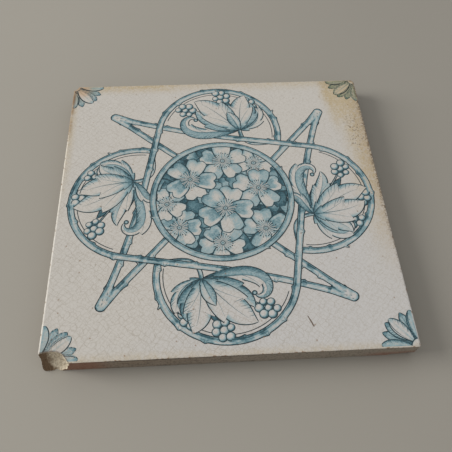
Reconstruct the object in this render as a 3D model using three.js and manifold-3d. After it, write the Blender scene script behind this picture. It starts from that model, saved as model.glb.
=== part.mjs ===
// A pressed and glazed wall tile with a printed scroll pattern, lying on its back.
// Millimetres, +Z up. The origin is the middle of the back, at the height of its lands.
// The tile is one fired piece of three layers: the clay body, the printed ink and the glaze.

import * as THREE from "three";
import { mergeVertices } from "three/addons/utils/BufferGeometryUtils.js";
import Module from "manifold-3d";

const wasm = await Module();
wasm.setup();

// Driving dimensions: the tile

const TILE_SIDE = 152;
const TILE_THICKNESS = 10;
const UPRIGHT_EDGE_RADIUS = 0.8;
const GLAZE_THICKNESS = 0.4;
const GLAZE_ARRIS_RADIUS = 0.35;
const FULLEST_ARRIS = 0.9;
const SEAM_HEIGHT = 2.2;
const SEAM_STEP = 0.2;
const FOOT_CHAMFER = 0.5;

// Driving dimensions: the keyed back

const KEY_PITCH = 15;
const KEY_WIDTH = 9;
const KEY_DEPTH = 1;
const KEY_MARGIN = 14;

// Driving dimensions: the broken corners, each an egg-shaped scoop of a half width, a half depth
// and a half height. Its centre lies beside the corner, outside the front side, and lower than
// the face for the chipped corner or than the back for the chipped foot.

const CORNER_CHIP_HALF_WIDTH = 7.6;
const CORNER_CHIP_HALF_DEPTH = 6.7;
const CORNER_CHIP_HALF_HEIGHT = 9;
const CORNER_CHIP_BESIDE = 4.5;
const CORNER_CHIP_OUTSIDE = 1.6;
const CORNER_CHIP_LOWER = 1.5;
const FOOT_CHIP_HALF_WIDTH = 15;
const FOOT_CHIP_HALF_DEPTH = 4;
const FOOT_CHIP_HALF_HEIGHT = 4.4;
const FOOT_CHIP_OUTSIDE = 2;
const FOOT_CHIP_LOWER = 0.6;

// Driving dimensions: the print

const INK_THICKNESS = 0.2;
const GROUND_THICKNESS = 0.1;
const PRINT_GAP = 0.3;
const PRINT_EDGE_MARGIN = 0.6;

const ROUNDEL_RADIUS = 34;
const ROUNDEL_BAND = 3.2;
const LOBE_RADIUS = 32;
const LOBE_EDGE_MARGIN = 4;
const SCROLL_BAND = 3.4;
const STRAP_CLEARANCE = 1.6;
const STRAP_BEND_LENGTH = 39;
const POINT_INSET = 23;
const POINT_RADIUS = 2.1;
const RETURN_ANGLE = 133;

const STEM_WIDTH = 2.2;
const CURL_CLEARANCE = 0.9;
const CURL_ANGLE = -32;
const SPRAY_STRAP_CLEARANCE = 4.4;
const SPRAY_OFFSET = 11;

// Each leaf starts at the spray's base, in a direction in degrees. Its length and how far its middle
// bows to its left are shares of the longest leaf's length, and its width is a share of the widest
// leaf's. Those two are shares of the room between the base and the lobe's rim. LEAF_FULLEST says
// how far along a leaf is widest.
const LONGEST_LEAF = 1.25;
const WIDEST_LEAF = 0.284;
const SPRAY_LEAVES = [
  { angle: -70, length: 0.42, width: 0.53, bow: 0.08 },
  { angle: -28, length: 0.64, width: 0.67, bow: -0.06 },
  { angle: 14, length: 0.82, width: 0.87, bow: 0.06 },
  { angle: 46, length: 0.94, width: 1, bow: -0.06 },
  { angle: 80, length: 1, width: 0.8, bow: -0.15 },
];
const LEAF_LOBES = 3;
const LEAF_NOTCH = 0.3;
const LEAF_FULLEST = 0.45;
const BERRY_RADIUS = 2;
const BERRIES_ON_A_TWIG = 3;
const TWIG_WIDTH = 1.2;
const LONGEST_TWIG = 1.17;
const TWIGS = [
  { angle: -8, length: 0.68 },
  { angle: 30, length: 0.9 },
  { angle: 63, length: 1 },
];

// Each blossom's place is a direction in degrees and a share of the ground's radius,
// and its size is a share of the largest one's reach, which is a share of that radius too.
const LARGEST_BLOSSOM = 0.443;
const BLOSSOMS = [
  { angle: -78, out: 0.2, size: 1 },
  { angle: 143, out: 0.61, size: 0.96 },
  { angle: 87, out: 0.72, size: 0.89 },
  { angle: 16, out: 0.6, size: 0.96 },
  { angle: 51, out: 0.84, size: 0.81 },
  { angle: 186, out: 0.84, size: 0.74 },
  { angle: -142, out: 0.84, size: 0.89 },
  { angle: -92, out: 0.82, size: 0.81 },
  { angle: -43, out: 0.85, size: 0.89 },
];
const BLOSSOM_PETALS = 5;
const BLOSSOM_WAIST = 0.45;
const PETAL_NOTCH = 0.16;
const PETAL_NOTCH_ANGLE = 9;

const CORNER_PETAL_ANGLES = [10, 28, 45, 62, 80];
const CORNER_PETAL_LENGTH = 15.5;
const CORNER_PETAL_HALF_WIDTH = 2.5;
const CORNER_PETAL_FULLEST = 0.55;
const CORNER_EYE_RADIUS = 3.5;

// How finely curved outlines are stepped

const UPRIGHT_EDGE_STEPS = 3;
const ARRIS_STEPS = 3;
const ARC_STEP_DEGREES = 7.5;
const LOBE_FIRST_ANGLE = -150;
const BEND_STEPS = 8;
const CURL_STEPS = 12;
const SMALL_DISC_STEPS = 12;
const LEAF_STEPS = 18;
const BLOSSOM_STEPS = 50;
const SCOOP_DETAIL = 3;
const MERGE_TOLERANCE = 1e-4;

// Sizes that follow from the driving dimensions

const FULL_TURN = 2 * Math.PI;
const QUARTER_TURN = Math.PI / 2;
const HALF_SIDE = TILE_SIDE / 2;
const INK_TOP = TILE_THICKNESS - GLAZE_THICKNESS;
const BODY_TOP = INK_TOP - INK_THICKNESS;
const GROUND_TOP = BODY_TOP + GROUND_THICKNESS;
const ARRIS_RADIUS = Math.min(GLAZE_ARRIS_RADIUS, FULLEST_ARRIS * GLAZE_THICKNESS);
const KEY_REACH = HALF_SIDE - KEY_MARGIN - KEY_WIDTH / 2;
const KEYS_EACH_WAY = Math.floor(KEY_REACH / KEY_PITCH + 0.5);
const GROUND_RADIUS = ROUNDEL_RADIUS - ROUNDEL_BAND - PRINT_GAP;
const SCROLL_HALF = SCROLL_BAND / 2;
const STEM_HALF = STEM_WIDTH / 2;
const LOBE_DISTANCE = HALF_SIDE - LOBE_EDGE_MARGIN - LOBE_RADIUS;
const POINT_REACH = HALF_SIDE - POINT_INSET;
const LOBE_LINE_RADIUS = LOBE_RADIUS - SCROLL_HALF;
const LOBE_FIELD_RADIUS = LOBE_RADIUS - SCROLL_BAND - PRINT_GAP;
const PASS_RADIUS = ROUNDEL_RADIUS + STRAP_CLEARANCE + SCROLL_HALF;
const PASS_ANGLE = QUARTER_TURN - Math.asin((PASS_RADIUS - LOBE_LINE_RADIUS) / LOBE_DISTANCE);
const MIDDLE = new THREE.Vector2(0, 0);
const LOBE_CENTRE = new THREE.Vector2(LOBE_DISTANCE, 0);
const CIRCLE_STEPS = Math.round(360 / ARC_STEP_DEGREES);
const SIDES = ["right", "back", "left", "front"];
const CORNERS = ["back_right", "back_left", "front_left", "front_right"];

// Materials

function material(colour, roughness) {
  return new THREE.MeshStandardMaterial({ color: colour, roughness, metalness: 0 });
}

const CLAY = material(0xb9a88a, 0.85);
const GLAZE = material(0xb7b3a9, 0.25);
GLAZE.transparent = true;
GLAZE.opacity = 0.3;
const DARK_INK = material(0x466f7c, 0.5);
const MID_INK = material(0x6e96a0, 0.5);
const PALE_INK = material(0xa9bcc0, 0.5);

// Points and paths in the plane of the face

function radians(degrees) {
  return (degrees * Math.PI) / 180;
}

function polar(radius, angle) {
  return new THREE.Vector2(radius * Math.cos(angle), radius * Math.sin(angle));
}

function turned(path, angle) {
  return path.map((point) => point.clone().rotateAround(MIDDLE, angle));
}

function arc(centre, radius, start, end) {
  const steps = Math.ceil((end - start) / radians(ARC_STEP_DEGREES));
  const points = [];
  for (let i = 0; i <= steps; i++) {
    points.push(polar(radius, start + ((end - start) * i) / steps).add(centre));
  }
  return points;
}

// The point where segment a0-a1 meets segment b0-b1, or null
function meeting(a0, a1, b0, b1) {
  const a = a1.clone().sub(a0);
  const b = b1.clone().sub(b0);
  const between = b0.clone().sub(a0);
  const across = a.cross(b);
  const alongA = between.cross(b) / across;
  const alongB = between.cross(a) / across;
  const meets = alongA >= 0 && alongA <= 1 && alongB >= 0 && alongB <= 1;
  return meets ? a0.clone().addScaledVector(a, alongA) : null;
}

// Every crossing of two paths, in order along the first: the segment's number and the point
function crossings(path, other) {
  const found = [];
  for (let i = 1; i < path.length; i++) {
    for (let j = 1; j < other.length; j++) {
      const point = meeting(path[i - 1], path[i], other[j - 1], other[j]);
      if (point) found.push({ segment: i, point });
    }
  }
  return found;
}

function pathBetween(path, start, end) {
  return [start.point, ...path.slice(start.segment, end.segment), end.point];
}

// The points beside a path, at the given distance to its left
function beside(path, distance) {
  return path.map((point, i) => {
    const before = path[Math.max(i - 1, 0)];
    const after = path[Math.min(i + 1, path.length - 1)];
    const along = after.clone().sub(before).normalize();
    return new THREE.Vector2(point.x - along.y * distance, point.y + along.x * distance);
  });
}

// Flat plates of ink, given as solids so that they can be joined and cut

function solid(geometry) {
  const bare = geometry.clone();
  bare.deleteAttribute("normal");
  bare.deleteAttribute("uv");
  const merged = mergeVertices(bare, MERGE_TOLERANCE);
  const mesh = new wasm.Mesh({
    numProp: 3,
    vertProperties: merged.attributes.position.array,
    triVerts: Uint32Array.from(merged.index.array),
  });
  return new wasm.Manifold(mesh);
}

function geometryOf(manifold) {
  const mesh = manifold.getMesh();
  const geometry = new THREE.BufferGeometry();
  geometry.setAttribute("position", new THREE.BufferAttribute(mesh.vertProperties, 3));
  geometry.setIndex(new THREE.BufferAttribute(mesh.triVerts, 1));
  geometry.computeVertexNormals();
  return geometry;
}

function plateGeometry(outline, bottom, top) {
  const shape = new THREE.Shape(outline);
  const geometry = new THREE.ExtrudeGeometry(shape, { depth: top - bottom, bevelEnabled: false });
  return geometry.translate(0, 0, bottom);
}

function inkPlate(outline) {
  return solid(plateGeometry(outline, BODY_TOP, INK_TOP));
}

function band(path, half) {
  return inkPlate([...beside(path, -half), ...beside(path, half).reverse()]);
}

function disc(centre, radius, steps) {
  const rim = [];
  for (let i = 0; i < steps; i++) {
    rim.push(polar(radius, (FULL_TURN * i) / steps).add(centre));
  }
  return inkPlate(rim);
}

function joined(solids) {
  return solids.reduce((sum, next) => sum.add(next));
}

// The clay body and the glaze

// A closed stack of rounded squares, each level given as its height, its side and its edge radius
function squareStack(levels) {
  const ringSize = 4 * (UPRIGHT_EDGE_STEPS + 1);
  const positions = [0, 0, levels[0].z];
  for (const { z, side, radius } of levels) {
    for (let i = 0; i < ringSize; i++) {
      const corner = Math.floor(i / (UPRIGHT_EDGE_STEPS + 1));
      const step = i % (UPRIGHT_EDGE_STEPS + 1);
      const middle = polar(Math.SQRT2 * (side / 2 - radius), (corner + 0.5) * QUARTER_TURN);
      const point = middle.add(polar(radius, (corner + step / UPRIGHT_EDGE_STEPS) * QUARTER_TURN));
      positions.push(point.x, point.y, z);
    }
  }
  const lid = 1 + levels.length * ringSize;
  positions.push(0, 0, levels[levels.length - 1].z);

  const faces = [];
  for (let i = 0; i < ringSize; i++) {
    const next = (i + 1) % ringSize;
    faces.push(0, 1 + next, 1 + i);
    faces.push(lid, lid - ringSize + i, lid - ringSize + next);
    for (let level = 0; level < levels.length - 1; level++) {
      const low = 1 + level * ringSize;
      const high = low + ringSize;
      faces.push(low + i, low + next, high + next);
      faces.push(low + i, high + next, high + i);
    }
  }
  const geometry = new THREE.BufferGeometry();
  geometry.setAttribute("position", new THREE.Float32BufferAttribute(positions, 3));
  geometry.setIndex(faces);
  return geometry;
}

// The shell-shaped scoops out of the front left corner and the foot of the front right corner

function cornerScoop() {
  const geometry = new THREE.IcosahedronGeometry(1, SCOOP_DETAIL);
  geometry.scale(CORNER_CHIP_HALF_WIDTH, CORNER_CHIP_HALF_DEPTH, CORNER_CHIP_HALF_HEIGHT);
  const x = CORNER_CHIP_BESIDE - HALF_SIDE;
  const y = -HALF_SIDE - CORNER_CHIP_OUTSIDE;
  return solid(geometry.translate(x, y, TILE_THICKNESS - CORNER_CHIP_LOWER));
}

function footScoop() {
  const geometry = new THREE.IcosahedronGeometry(1, SCOOP_DETAIL);
  geometry.scale(FOOT_CHIP_HALF_WIDTH, FOOT_CHIP_HALF_DEPTH, FOOT_CHIP_HALF_HEIGHT);
  return solid(geometry.translate(HALF_SIDE, -HALF_SIDE - FOOT_CHIP_OUTSIDE, -FOOT_CHIP_LOWER));
}

// A long round-ended hollow in the back, which mortar grips
function key(x) {
  const outline = [
    ...arc(new THREE.Vector2(x, KEY_REACH), KEY_WIDTH / 2, 0, Math.PI),
    ...arc(new THREE.Vector2(x, -KEY_REACH), KEY_WIDTH / 2, Math.PI, FULL_TURN),
  ];
  return solid(plateGeometry(outline, -KEY_DEPTH, KEY_DEPTH));
}

function clayBody(chips) {
  const lower = TILE_SIDE - 2 * SEAM_STEP;
  const foot = lower - 2 * FOOT_CHAMFER;
  const radius = UPRIGHT_EDGE_RADIUS;
  const levels = [
    { z: 0, side: foot, radius },
    { z: FOOT_CHAMFER, side: lower, radius },
    { z: SEAM_HEIGHT, side: lower, radius },
    { z: SEAM_HEIGHT + SEAM_STEP, side: TILE_SIDE, radius },
    { z: BODY_TOP, side: TILE_SIDE, radius },
  ];
  const keys = [];
  for (let i = 0; i < KEYS_EACH_WAY; i++) {
    const x = (i + 0.5) * KEY_PITCH;
    keys.push(key(-x), key(x));
  }
  return solid(squareStack(levels)).subtract(joined([...keys, ...chips]));
}

function glazeCoat(chips) {
  const levels = [{ z: INK_TOP, side: TILE_SIDE, radius: UPRIGHT_EDGE_RADIUS }];
  for (let i = 0; i <= ARRIS_STEPS; i++) {
    const angle = (QUARTER_TURN * i) / ARRIS_STEPS;
    const inward = ARRIS_RADIUS * (1 - Math.cos(angle));
    const z = TILE_THICKNESS - ARRIS_RADIUS * (1 - Math.sin(angle));
    levels.push({ z, side: TILE_SIDE - 2 * inward, radius: UPRIGHT_EDGE_RADIUS });
  }
  return solid(squareStack(levels)).subtract(joined(chips));
}

// The scroll of the right-hand lobe: round the lobe, along the roundel and out to the back left point.
// The other three are the same, a quarter turn apart, and each passes over the one before it.

const lobeArc = arc(LOBE_CENTRE, LOBE_LINE_RADIUS, radians(LOBE_FIRST_ANGLE), PASS_ANGLE);
const passPoint = polar(PASS_RADIUS, PASS_ANGLE);
const tip = new THREE.Vector2(-POINT_REACH, POINT_REACH);
const bendPoint = passPoint.clone().add(polar(STRAP_BEND_LENGTH, PASS_ANGLE + QUARTER_TURN));
const bend = new THREE.QuadraticBezierCurve(passPoint, bendPoint, tip).getPoints(BEND_STEPS);
const scrollPath = [...lobeArc, ...bend];
const returnPath = [tip, polar(GROUND_RADIUS, radians(RETURN_ANGLE))];

// The stretch of a scroll that passes over the scrolls on both sides of it
const overPath = [...lobeArc.slice(Math.floor(lobeArc.length / 2)), ...bend.slice(0, BEND_STEPS / 2)];

const scrollBefore = turned(scrollPath, -QUARTER_TURN);
const scrollAfter = turned(scrollPath, QUARTER_TURN);
const cutBefore = band(turned(overPath, -QUARTER_TURN), SCROLL_HALF + PRINT_GAP);
const cutAfter = band(turned(overPath, QUARTER_TURN), SCROLL_HALF + PRINT_GAP);
const cutRoundel = disc(MIDDLE, ROUNDEL_RADIUS + PRINT_GAP, CIRCLE_STEPS);

const scrollStart = crossings(scrollPath, scrollBefore)[0];
const scrollEnd = crossings(scrollPath, scrollAfter).at(-1);
const returnCrossing = crossings(returnPath, scrollAfter)[0];

function scroll() {
  return band(pathBetween(scrollPath, scrollStart, scrollEnd), SCROLL_HALF)
    .subtract(cutBefore)
    .subtract(cutAfter);
}

function point() {
  const outward = [scrollEnd.point, ...scrollPath.slice(scrollEnd.segment)];
  const homeward = [tip, returnCrossing.point];
  const knob = disc(tip, POINT_RADIUS, SMALL_DISC_STEPS);
  return joined([band(outward, SCROLL_HALF), band(homeward, SCROLL_HALF), knob]).subtract(cutAfter);
}

function returnEnd() {
  return band([returnCrossing.point, returnPath[1]], SCROLL_HALF)
    .subtract(cutAfter)
    .subtract(cutRoundel)
    .subtract(band(turned(curlPath, Math.PI), STEM_HALF + PRINT_GAP));
}

// The curl leads from the start of the lobe, along the roundel and under the strap to the spray's base

function sprayBaseBesideStrap() {
  const across = [new THREE.Vector2(0, -SPRAY_OFFSET), new THREE.Vector2(HALF_SIDE, -SPRAY_OFFSET)];
  const onStrap = crossings(across, scrollBefore)[0].point;
  return onStrap.add(new THREE.Vector2(SCROLL_HALF + SPRAY_STRAP_CLEARANCE, 0));
}

const sprayBase = sprayBaseBesideStrap();
const sprayRoom = LOBE_CENTRE.x + LOBE_FIELD_RADIUS - sprayBase.x;

function curlLine() {
  const besideRoundel = polar(ROUNDEL_RADIUS + CURL_CLEARANCE + STEM_HALF, radians(CURL_ANGLE));
  const places = [scrollStart.point, besideRoundel, sprayBase].map(({ x, y }) => new THREE.Vector3(x, y));
  const spaced = new THREE.CatmullRomCurve3(places).getSpacedPoints(CURL_STEPS);
  return spaced.map(({ x, y }) => new THREE.Vector2(x, y));
}

const curlPath = curlLine();
const curlEnd = crossings(curlPath, scrollBefore).at(-1);

function curl() {
  const start = { segment: 1, point: curlPath[0] };
  return band(pathBetween(curlPath, start, curlEnd), STEM_HALF).subtract(cutBefore).subtract(cutRoundel);
}

// The spray of leaves and berries that fills the lobe

function leafOutline(base, { angle, length, halfWidth, bow, fullest, notchDepth }) {
  const along = polar(1, radians(angle));
  const power = Math.log(0.5) / Math.log(fullest);
  const left = new THREE.Vector2(-along.y, along.x);
  const sides = [[], []];
  for (let i = 0; i <= LEAF_STEPS; i++) {
    const share = i / LEAF_STEPS;
    const notch = 1 - notchDepth * (1 - Math.sqrt(Math.abs(Math.sin(LEAF_LOBES * Math.PI * share))));
    const width = halfWidth * Math.sin(Math.PI * share ** power) * notch;
    const middle = base
      .clone()
      .addScaledVector(along, length * share)
      .addScaledVector(left, bow * Math.sin(Math.PI * share));
    if (i > 0) sides[0].push(middle.clone().addScaledVector(left, -width));
    if (i > 0 && i < LEAF_STEPS) sides[1].push(middle.clone().addScaledVector(left, width));
  }
  return [base.clone(), ...sides[0], ...sides[1].reverse()];
}

function sprayLeaf({ angle, length, width, bow }) {
  const leaf = {
    angle,
    length: length * LONGEST_LEAF * sprayRoom,
    halfWidth: width * WIDEST_LEAF * sprayRoom,
    bow: bow * LONGEST_LEAF * sprayRoom,
    fullest: LEAF_FULLEST,
    notchDepth: LEAF_NOTCH,
  };
  return inkPlate(leafOutline(sprayBase, leaf));
}

function twig({ angle, length }) {
  const end = polar(length * LONGEST_TWIG * sprayRoom, radians(angle)).add(sprayBase);
  const berries = [];
  for (let i = 0; i < BERRIES_ON_A_TWIG; i++) {
    const place = polar(BERRY_RADIUS, radians(angle) + (FULL_TURN * i) / BERRIES_ON_A_TWIG);
    berries.push(disc(end.clone().add(place), BERRY_RADIUS, SMALL_DISC_STEPS));
  }
  return joined([band([sprayBase, end], TWIG_WIDTH / 2), ...berries]);
}

// What lies on the far side of the strap that crosses the lobe, with the strap itself
function beyondStrap() {
  const edge = beside(scrollBefore, -SCROLL_HALF - PRINT_GAP);
  const farBack = new THREE.Vector2(-TILE_SIDE, TILE_SIDE);
  const farFront = new THREE.Vector2(-TILE_SIDE, -TILE_SIDE);
  const fromPass = edge.slice(lobeArc.length - 1);
  return inkPlate([...fromPass, farBack, farFront]);
}

function spray() {
  const stem = [curlEnd.point, ...curlPath.slice(curlEnd.segment)];
  return joined([band(stem, STEM_HALF), ...SPRAY_LEAVES.map(sprayLeaf), ...TWIGS.map(twig)])
    .intersect(disc(LOBE_CENTRE, LOBE_FIELD_RADIUS, CIRCLE_STEPS))
    .subtract(beyondStrap());
}

// The roundel: its ring, its ground and the blossoms that lie on the ground

function roundelRing() {
  const shape = new THREE.Shape().absarc(0, 0, ROUNDEL_RADIUS, 0, FULL_TURN);
  shape.holes.push(new THREE.Path().absarc(0, 0, ROUNDEL_RADIUS - ROUNDEL_BAND, 0, FULL_TURN));
  const options = { depth: INK_THICKNESS, bevelEnabled: false, curveSegments: CIRCLE_STEPS };
  return new THREE.ExtrudeGeometry(shape, options).translate(0, 0, BODY_TOP);
}

function roundelGround() {
  const rim = arc(MIDDLE, GROUND_RADIUS, 0, FULL_TURN).slice(1);
  return plateGeometry(rim, BODY_TOP, GROUND_TOP);
}

function blossomCentre({ angle, out }) {
  return polar(out * GROUND_RADIUS, radians(angle));
}

// How far a blossom reaches in one direction before it meets a neighbour or the ground's rim
function blossomRoom(centre, direction) {
  const along = centre.dot(direction);
  const rim = GROUND_RADIUS - PRINT_GAP;
  let room = Math.sqrt(along * along + rim * rim - centre.lengthSq()) - along;
  for (const other of BLOSSOMS) {
    const away = blossomCentre(other).sub(centre);
    const towards = away.dot(direction);
    if (towards > 0) {
      const halfway = (away.length() - PRINT_GAP) / 2;
      room = Math.min(room, (halfway * away.length()) / towards);
    }
  }
  return room;
}

function blossom(place) {
  const centre = blossomCentre(place);
  const petalTurn = FULL_TURN / BLOSSOM_PETALS;
  const outline = [];
  for (let i = 0; i < BLOSSOM_STEPS; i++) {
    const angle = (FULL_TURN * i) / BLOSSOM_STEPS;
    const fromPetal = ((angle + petalTurn / 2) % petalTurn) - petalTurn / 2;
    const roundness = Math.sqrt(Math.cos((fromPetal * Math.PI) / petalTurn));
    const swell = BLOSSOM_WAIST + (1 - BLOSSOM_WAIST) * roundness;
    const notch = 1 - PETAL_NOTCH * Math.exp(-((fromPetal / radians(PETAL_NOTCH_ANGLE)) ** 2));
    const direction = polar(1, radians(place.angle) + angle);
    const reach = place.size * LARGEST_BLOSSOM * GROUND_RADIUS * swell * notch;
    const radius = Math.min(reach, blossomRoom(centre, direction));
    outline.push(direction.multiplyScalar(radius).add(centre));
  }
  return plateGeometry(outline, GROUND_TOP, INK_TOP);
}

// The quarter flower in the back right corner, its petals pointing to the middle of the tile

function cornerFlower() {
  const corner = new THREE.Vector2(HALF_SIDE, HALF_SIDE);
  const petal = {
    length: CORNER_PETAL_LENGTH,
    halfWidth: CORNER_PETAL_HALF_WIDTH,
    fullest: CORNER_PETAL_FULLEST,
    bow: 0,
    notchDepth: 0,
  };
  const petals = CORNER_PETAL_ANGLES.map((degrees) =>
    inkPlate(leafOutline(corner, { ...petal, angle: 180 + degrees })),
  );
  const reach = HALF_SIDE - PRINT_EDGE_MARGIN;
  const face = [-1, 1, 3, 5].map((eighth) => polar(Math.SQRT2 * reach, (eighth * Math.PI) / 4));
  const eye = disc(corner, CORNER_EYE_RADIUS, SMALL_DISC_STEPS);
  return joined([...petals, eye]).intersect(inkPlate(face));
}

// The assembly

function named(name, shape, finish) {
  const geometry = shape.isBufferGeometry ? shape : geometryOf(shape);
  const mesh = new THREE.Mesh(geometry, finish.clone());
  mesh.name = name;
  return mesh;
}

const cornerChip = cornerScoop();
const footChip = footScoop();

const tile = new THREE.Group();
tile.add(named("clay_body", clayBody([cornerChip, footChip]), CLAY));
tile.add(named("glaze_coat", glazeCoat([cornerChip, footChip]), GLAZE));
tile.add(named("print_roundel_ring", roundelRing(), MID_INK));
tile.add(named("print_roundel_ground", roundelGround(), DARK_INK));
BLOSSOMS.forEach((place, i) => tile.add(named("print_blossom_" + (i + 1), blossom(place), PALE_INK)));

const lobePieces = {
  print_scroll: [scroll(), MID_INK],
  print_point: [point(), MID_INK],
  print_return: [returnEnd(), MID_INK],
  print_curl: [curl(), MID_INK],
  print_spray: [spray(), PALE_INK],
};
SIDES.forEach((side, i) => {
  const lobe = new THREE.Group();
  lobe.rotation.z = i * QUARTER_TURN;
  for (const [name, [shape, finish]] of Object.entries(lobePieces)) {
    lobe.add(named(name + "_" + side, shape, finish));
  }
  tile.add(lobe);
});

const flower = geometryOf(cornerFlower());
CORNERS.forEach((corner, i) => {
  const placed = flower.clone().rotateZ(i * QUARTER_TURN);
  const shape = corner === "front_left" ? solid(placed).subtract(cornerChip) : placed;
  tile.add(named("print_corner_flower_" + corner, shape, PALE_INK));
});

export default tile;
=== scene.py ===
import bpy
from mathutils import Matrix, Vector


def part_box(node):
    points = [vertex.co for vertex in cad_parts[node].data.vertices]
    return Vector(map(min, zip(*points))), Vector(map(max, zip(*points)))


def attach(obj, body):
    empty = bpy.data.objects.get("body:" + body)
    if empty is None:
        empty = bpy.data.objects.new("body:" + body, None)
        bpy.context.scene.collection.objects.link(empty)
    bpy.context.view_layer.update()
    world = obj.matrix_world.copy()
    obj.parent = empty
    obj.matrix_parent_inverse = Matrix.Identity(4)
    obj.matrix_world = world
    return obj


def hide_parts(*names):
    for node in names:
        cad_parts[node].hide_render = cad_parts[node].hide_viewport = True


bl_info = {
    "name": "Printed wall tile",
    "version": (1, 0, 0),
    "blender": (4, 5, 0),
    "location": "View3D > Sidebar > Tile",
    "description": "Builds a glazed wall tile with a printed scroll pattern over its packed frame",
    "category": "Object",
}

import math
import random

import bmesh
import bpy
import numpy as np
from mathutils import Euler, Vector, noise

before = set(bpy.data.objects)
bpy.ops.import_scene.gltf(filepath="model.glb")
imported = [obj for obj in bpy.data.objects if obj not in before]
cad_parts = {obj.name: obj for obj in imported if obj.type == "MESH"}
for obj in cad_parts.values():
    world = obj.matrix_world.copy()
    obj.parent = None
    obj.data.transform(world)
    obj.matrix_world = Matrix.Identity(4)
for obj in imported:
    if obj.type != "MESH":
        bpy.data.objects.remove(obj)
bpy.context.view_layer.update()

# The tile lies on its back. Shapes are worked out in millimetres, and a point of the face is the
# complex number x + yj, so that a quarter turn is a product with 1j.

MM = 0.001
SIDES = ("right", "back", "left", "front")
CORNERS = ("back_right", "back_left", "front_left", "front_right")


def corners(node):
    """The lowest and the highest corner of a CAD node, in millimetres."""
    low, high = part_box(node)
    return low / MM, high / MM


GLAZE_LOW, GLAZE_HIGH = corners("glaze_coat")
SCROLL_LOW, SCROLL_HIGH = corners("print_scroll_right")
RING_HIGH = corners("print_roundel_ring")[1]
FLOWER_HIGH = corners("print_corner_flower_back_right")[1]
HALF_SIDE = GLAZE_HIGH.x

# The print lies in thin layers on the face, and the topmost reaches the height of the frame. The
# underside of each sheet is sunk into the face.
INK_LAYER = 0.008
INK_LAYERS = 12
INK_SUNK = 0.03
FACE_HEIGHT = GLAZE_HIGH.z - INK_LAYER * INK_LAYERS


def srgb(red, green, blue):
    """A colour as the settings hold it, from its values between 0 and 255 on a screen."""

    def linear(value):
        share = value / 255
        return share / 12.92 if share <= 0.04045 else ((share + 0.055) / 1.055) ** 2.4

    return linear(red), linear(green), linear(blue)


def length(name, description, millimetres):
    """A setting for a length, given in millimetres and held in metres."""
    return bpy.props.FloatProperty(
        name=name,
        description=description,
        default=millimetres * MM,
        min=0,
        subtype="DISTANCE",
        unit="LENGTH",
        precision=5,
    )


def colour(name, description, red, green, blue):
    """A setting for a colour, given by its values between 0 and 255 on a screen."""
    return bpy.props.FloatVectorProperty(
        name=name,
        description=description,
        default=srgb(red, green, blue),
        min=0,
        max=1,
        subtype="COLOR",
    )


class TileBodySettings(bpy.types.PropertyGroup):
    """The sizes of the clay body and the glaze"""

    half_side: length("Half side", "Half the side of the tile", GLAZE_HIGH.x)
    edge_radius: length("Edge radius", "Radius of the four upright edges", 0.9)
    arris_radius: length("Arris radius", "How far the glaze rounds over the rim of the face", 0.7)
    glaze_bottom: length("Glaze bottom", "Height at which the glaze starts", GLAZE_LOW.z)
    seam_height: length("Seam height", "Height of the press seam", 2.2)
    seam_step: length("Seam step", "How far the foot below the seam is set back", 0.2)
    key_pitch: length("Key pitch", "Distance between the hollows of the back", 15)
    key_width: length("Key width", "Width of a hollow of the back", 9)
    key_depth: length("Key depth", "Depth of a hollow of the back", 1)
    key_margin: length("Key margin", "Distance from a hollow's end to the edge", 14)


class TilePrintSettings(bpy.types.PropertyGroup):
    """The sizes of the print"""

    ring_radius: length("Ring radius", "Outer radius of the roundel's ring", RING_HIGH.x)
    ring_band: length("Ring band", "Width of the roundel's ring", 3.2)
    lobe_radius: length("Lobe radius", "Outer radius of a lobe's band", -SCROLL_LOW.y)
    scroll_band: length("Scroll band", "Width of a scroll's band", 3.4)
    stem_width: length("Stem width", "Width of the curls and stems", 2.2)
    point_reach: length("Point reach", "Distance of a scroll's point from the middle lines", 53)
    outline: length("Outline", "Width of the dark outlines", 0.42)
    berry_radius: length("Berry radius", "Radius of a berry", 1.95)
    petal_length: length("Corner petal length", "Length of the corner flowers' petals", 15.5)


class TileColourSettings(bpy.types.PropertyGroup):
    """The colours of the glaze, the ink, the clay, what has stained them and a painted highlight"""

    glaze: colour("Glaze", "The cream glaze", 187, 182, 174)
    glaze_cool: colour("Cool glaze", "The glaze where it is thicker and greyer", 184, 181, 177)
    stain: colour("Stain", "The buff stain along the back and right edges", 176, 158, 124)
    stain_tint: colour("Stain tint", "The stain over the two back flowers", 226, 192, 122)
    # A painted highlight: the pale colour of the left rim, as if its rounded glaze caught the light
    highlit: colour("Highlit glaze", "The pale rim where the left edge is rubbed", 226, 220, 208)
    rust: colour("Rust", "The brown stain at the corners and nicks", 122, 92, 62)
    red_rust: colour("Red rust", "The reddish stain on the front side", 126, 76, 54)
    orange: colour("Orange", "The orange stain in the back left corner", 186, 148, 110)
    crazing: colour("Crazing", "The fine cracks in the glaze", 150, 141, 127)
    wash: colour("Ink wash", "The thinnest ink", 136, 158, 161)
    mid_ink: colour("Mid ink", "The half tone of the ink", 84, 118, 126)
    dark_ink: colour("Dark ink", "The strong tone of the ink", 42, 80, 90)
    line_ink: colour("Line ink", "The drawn lines of the ink", 0, 30, 38)
    clay: colour("Clay", "The fired clay of the back", 176, 158, 130)
    grime: colour("Grime", "The dirt on the sides", 122, 104, 85)
    # Dirt, which low on the breaks near the floor also stands as painted shade
    dirt: colour("Dirt", "The brown dirt in the broken corner", 104, 82, 58)
    grime_pale: colour("Pale grime", "The worn dirt on the sides", 140, 130, 116)
    broken: colour("Broken clay", "The clay where the corners are broken", 202, 190, 167)


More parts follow.
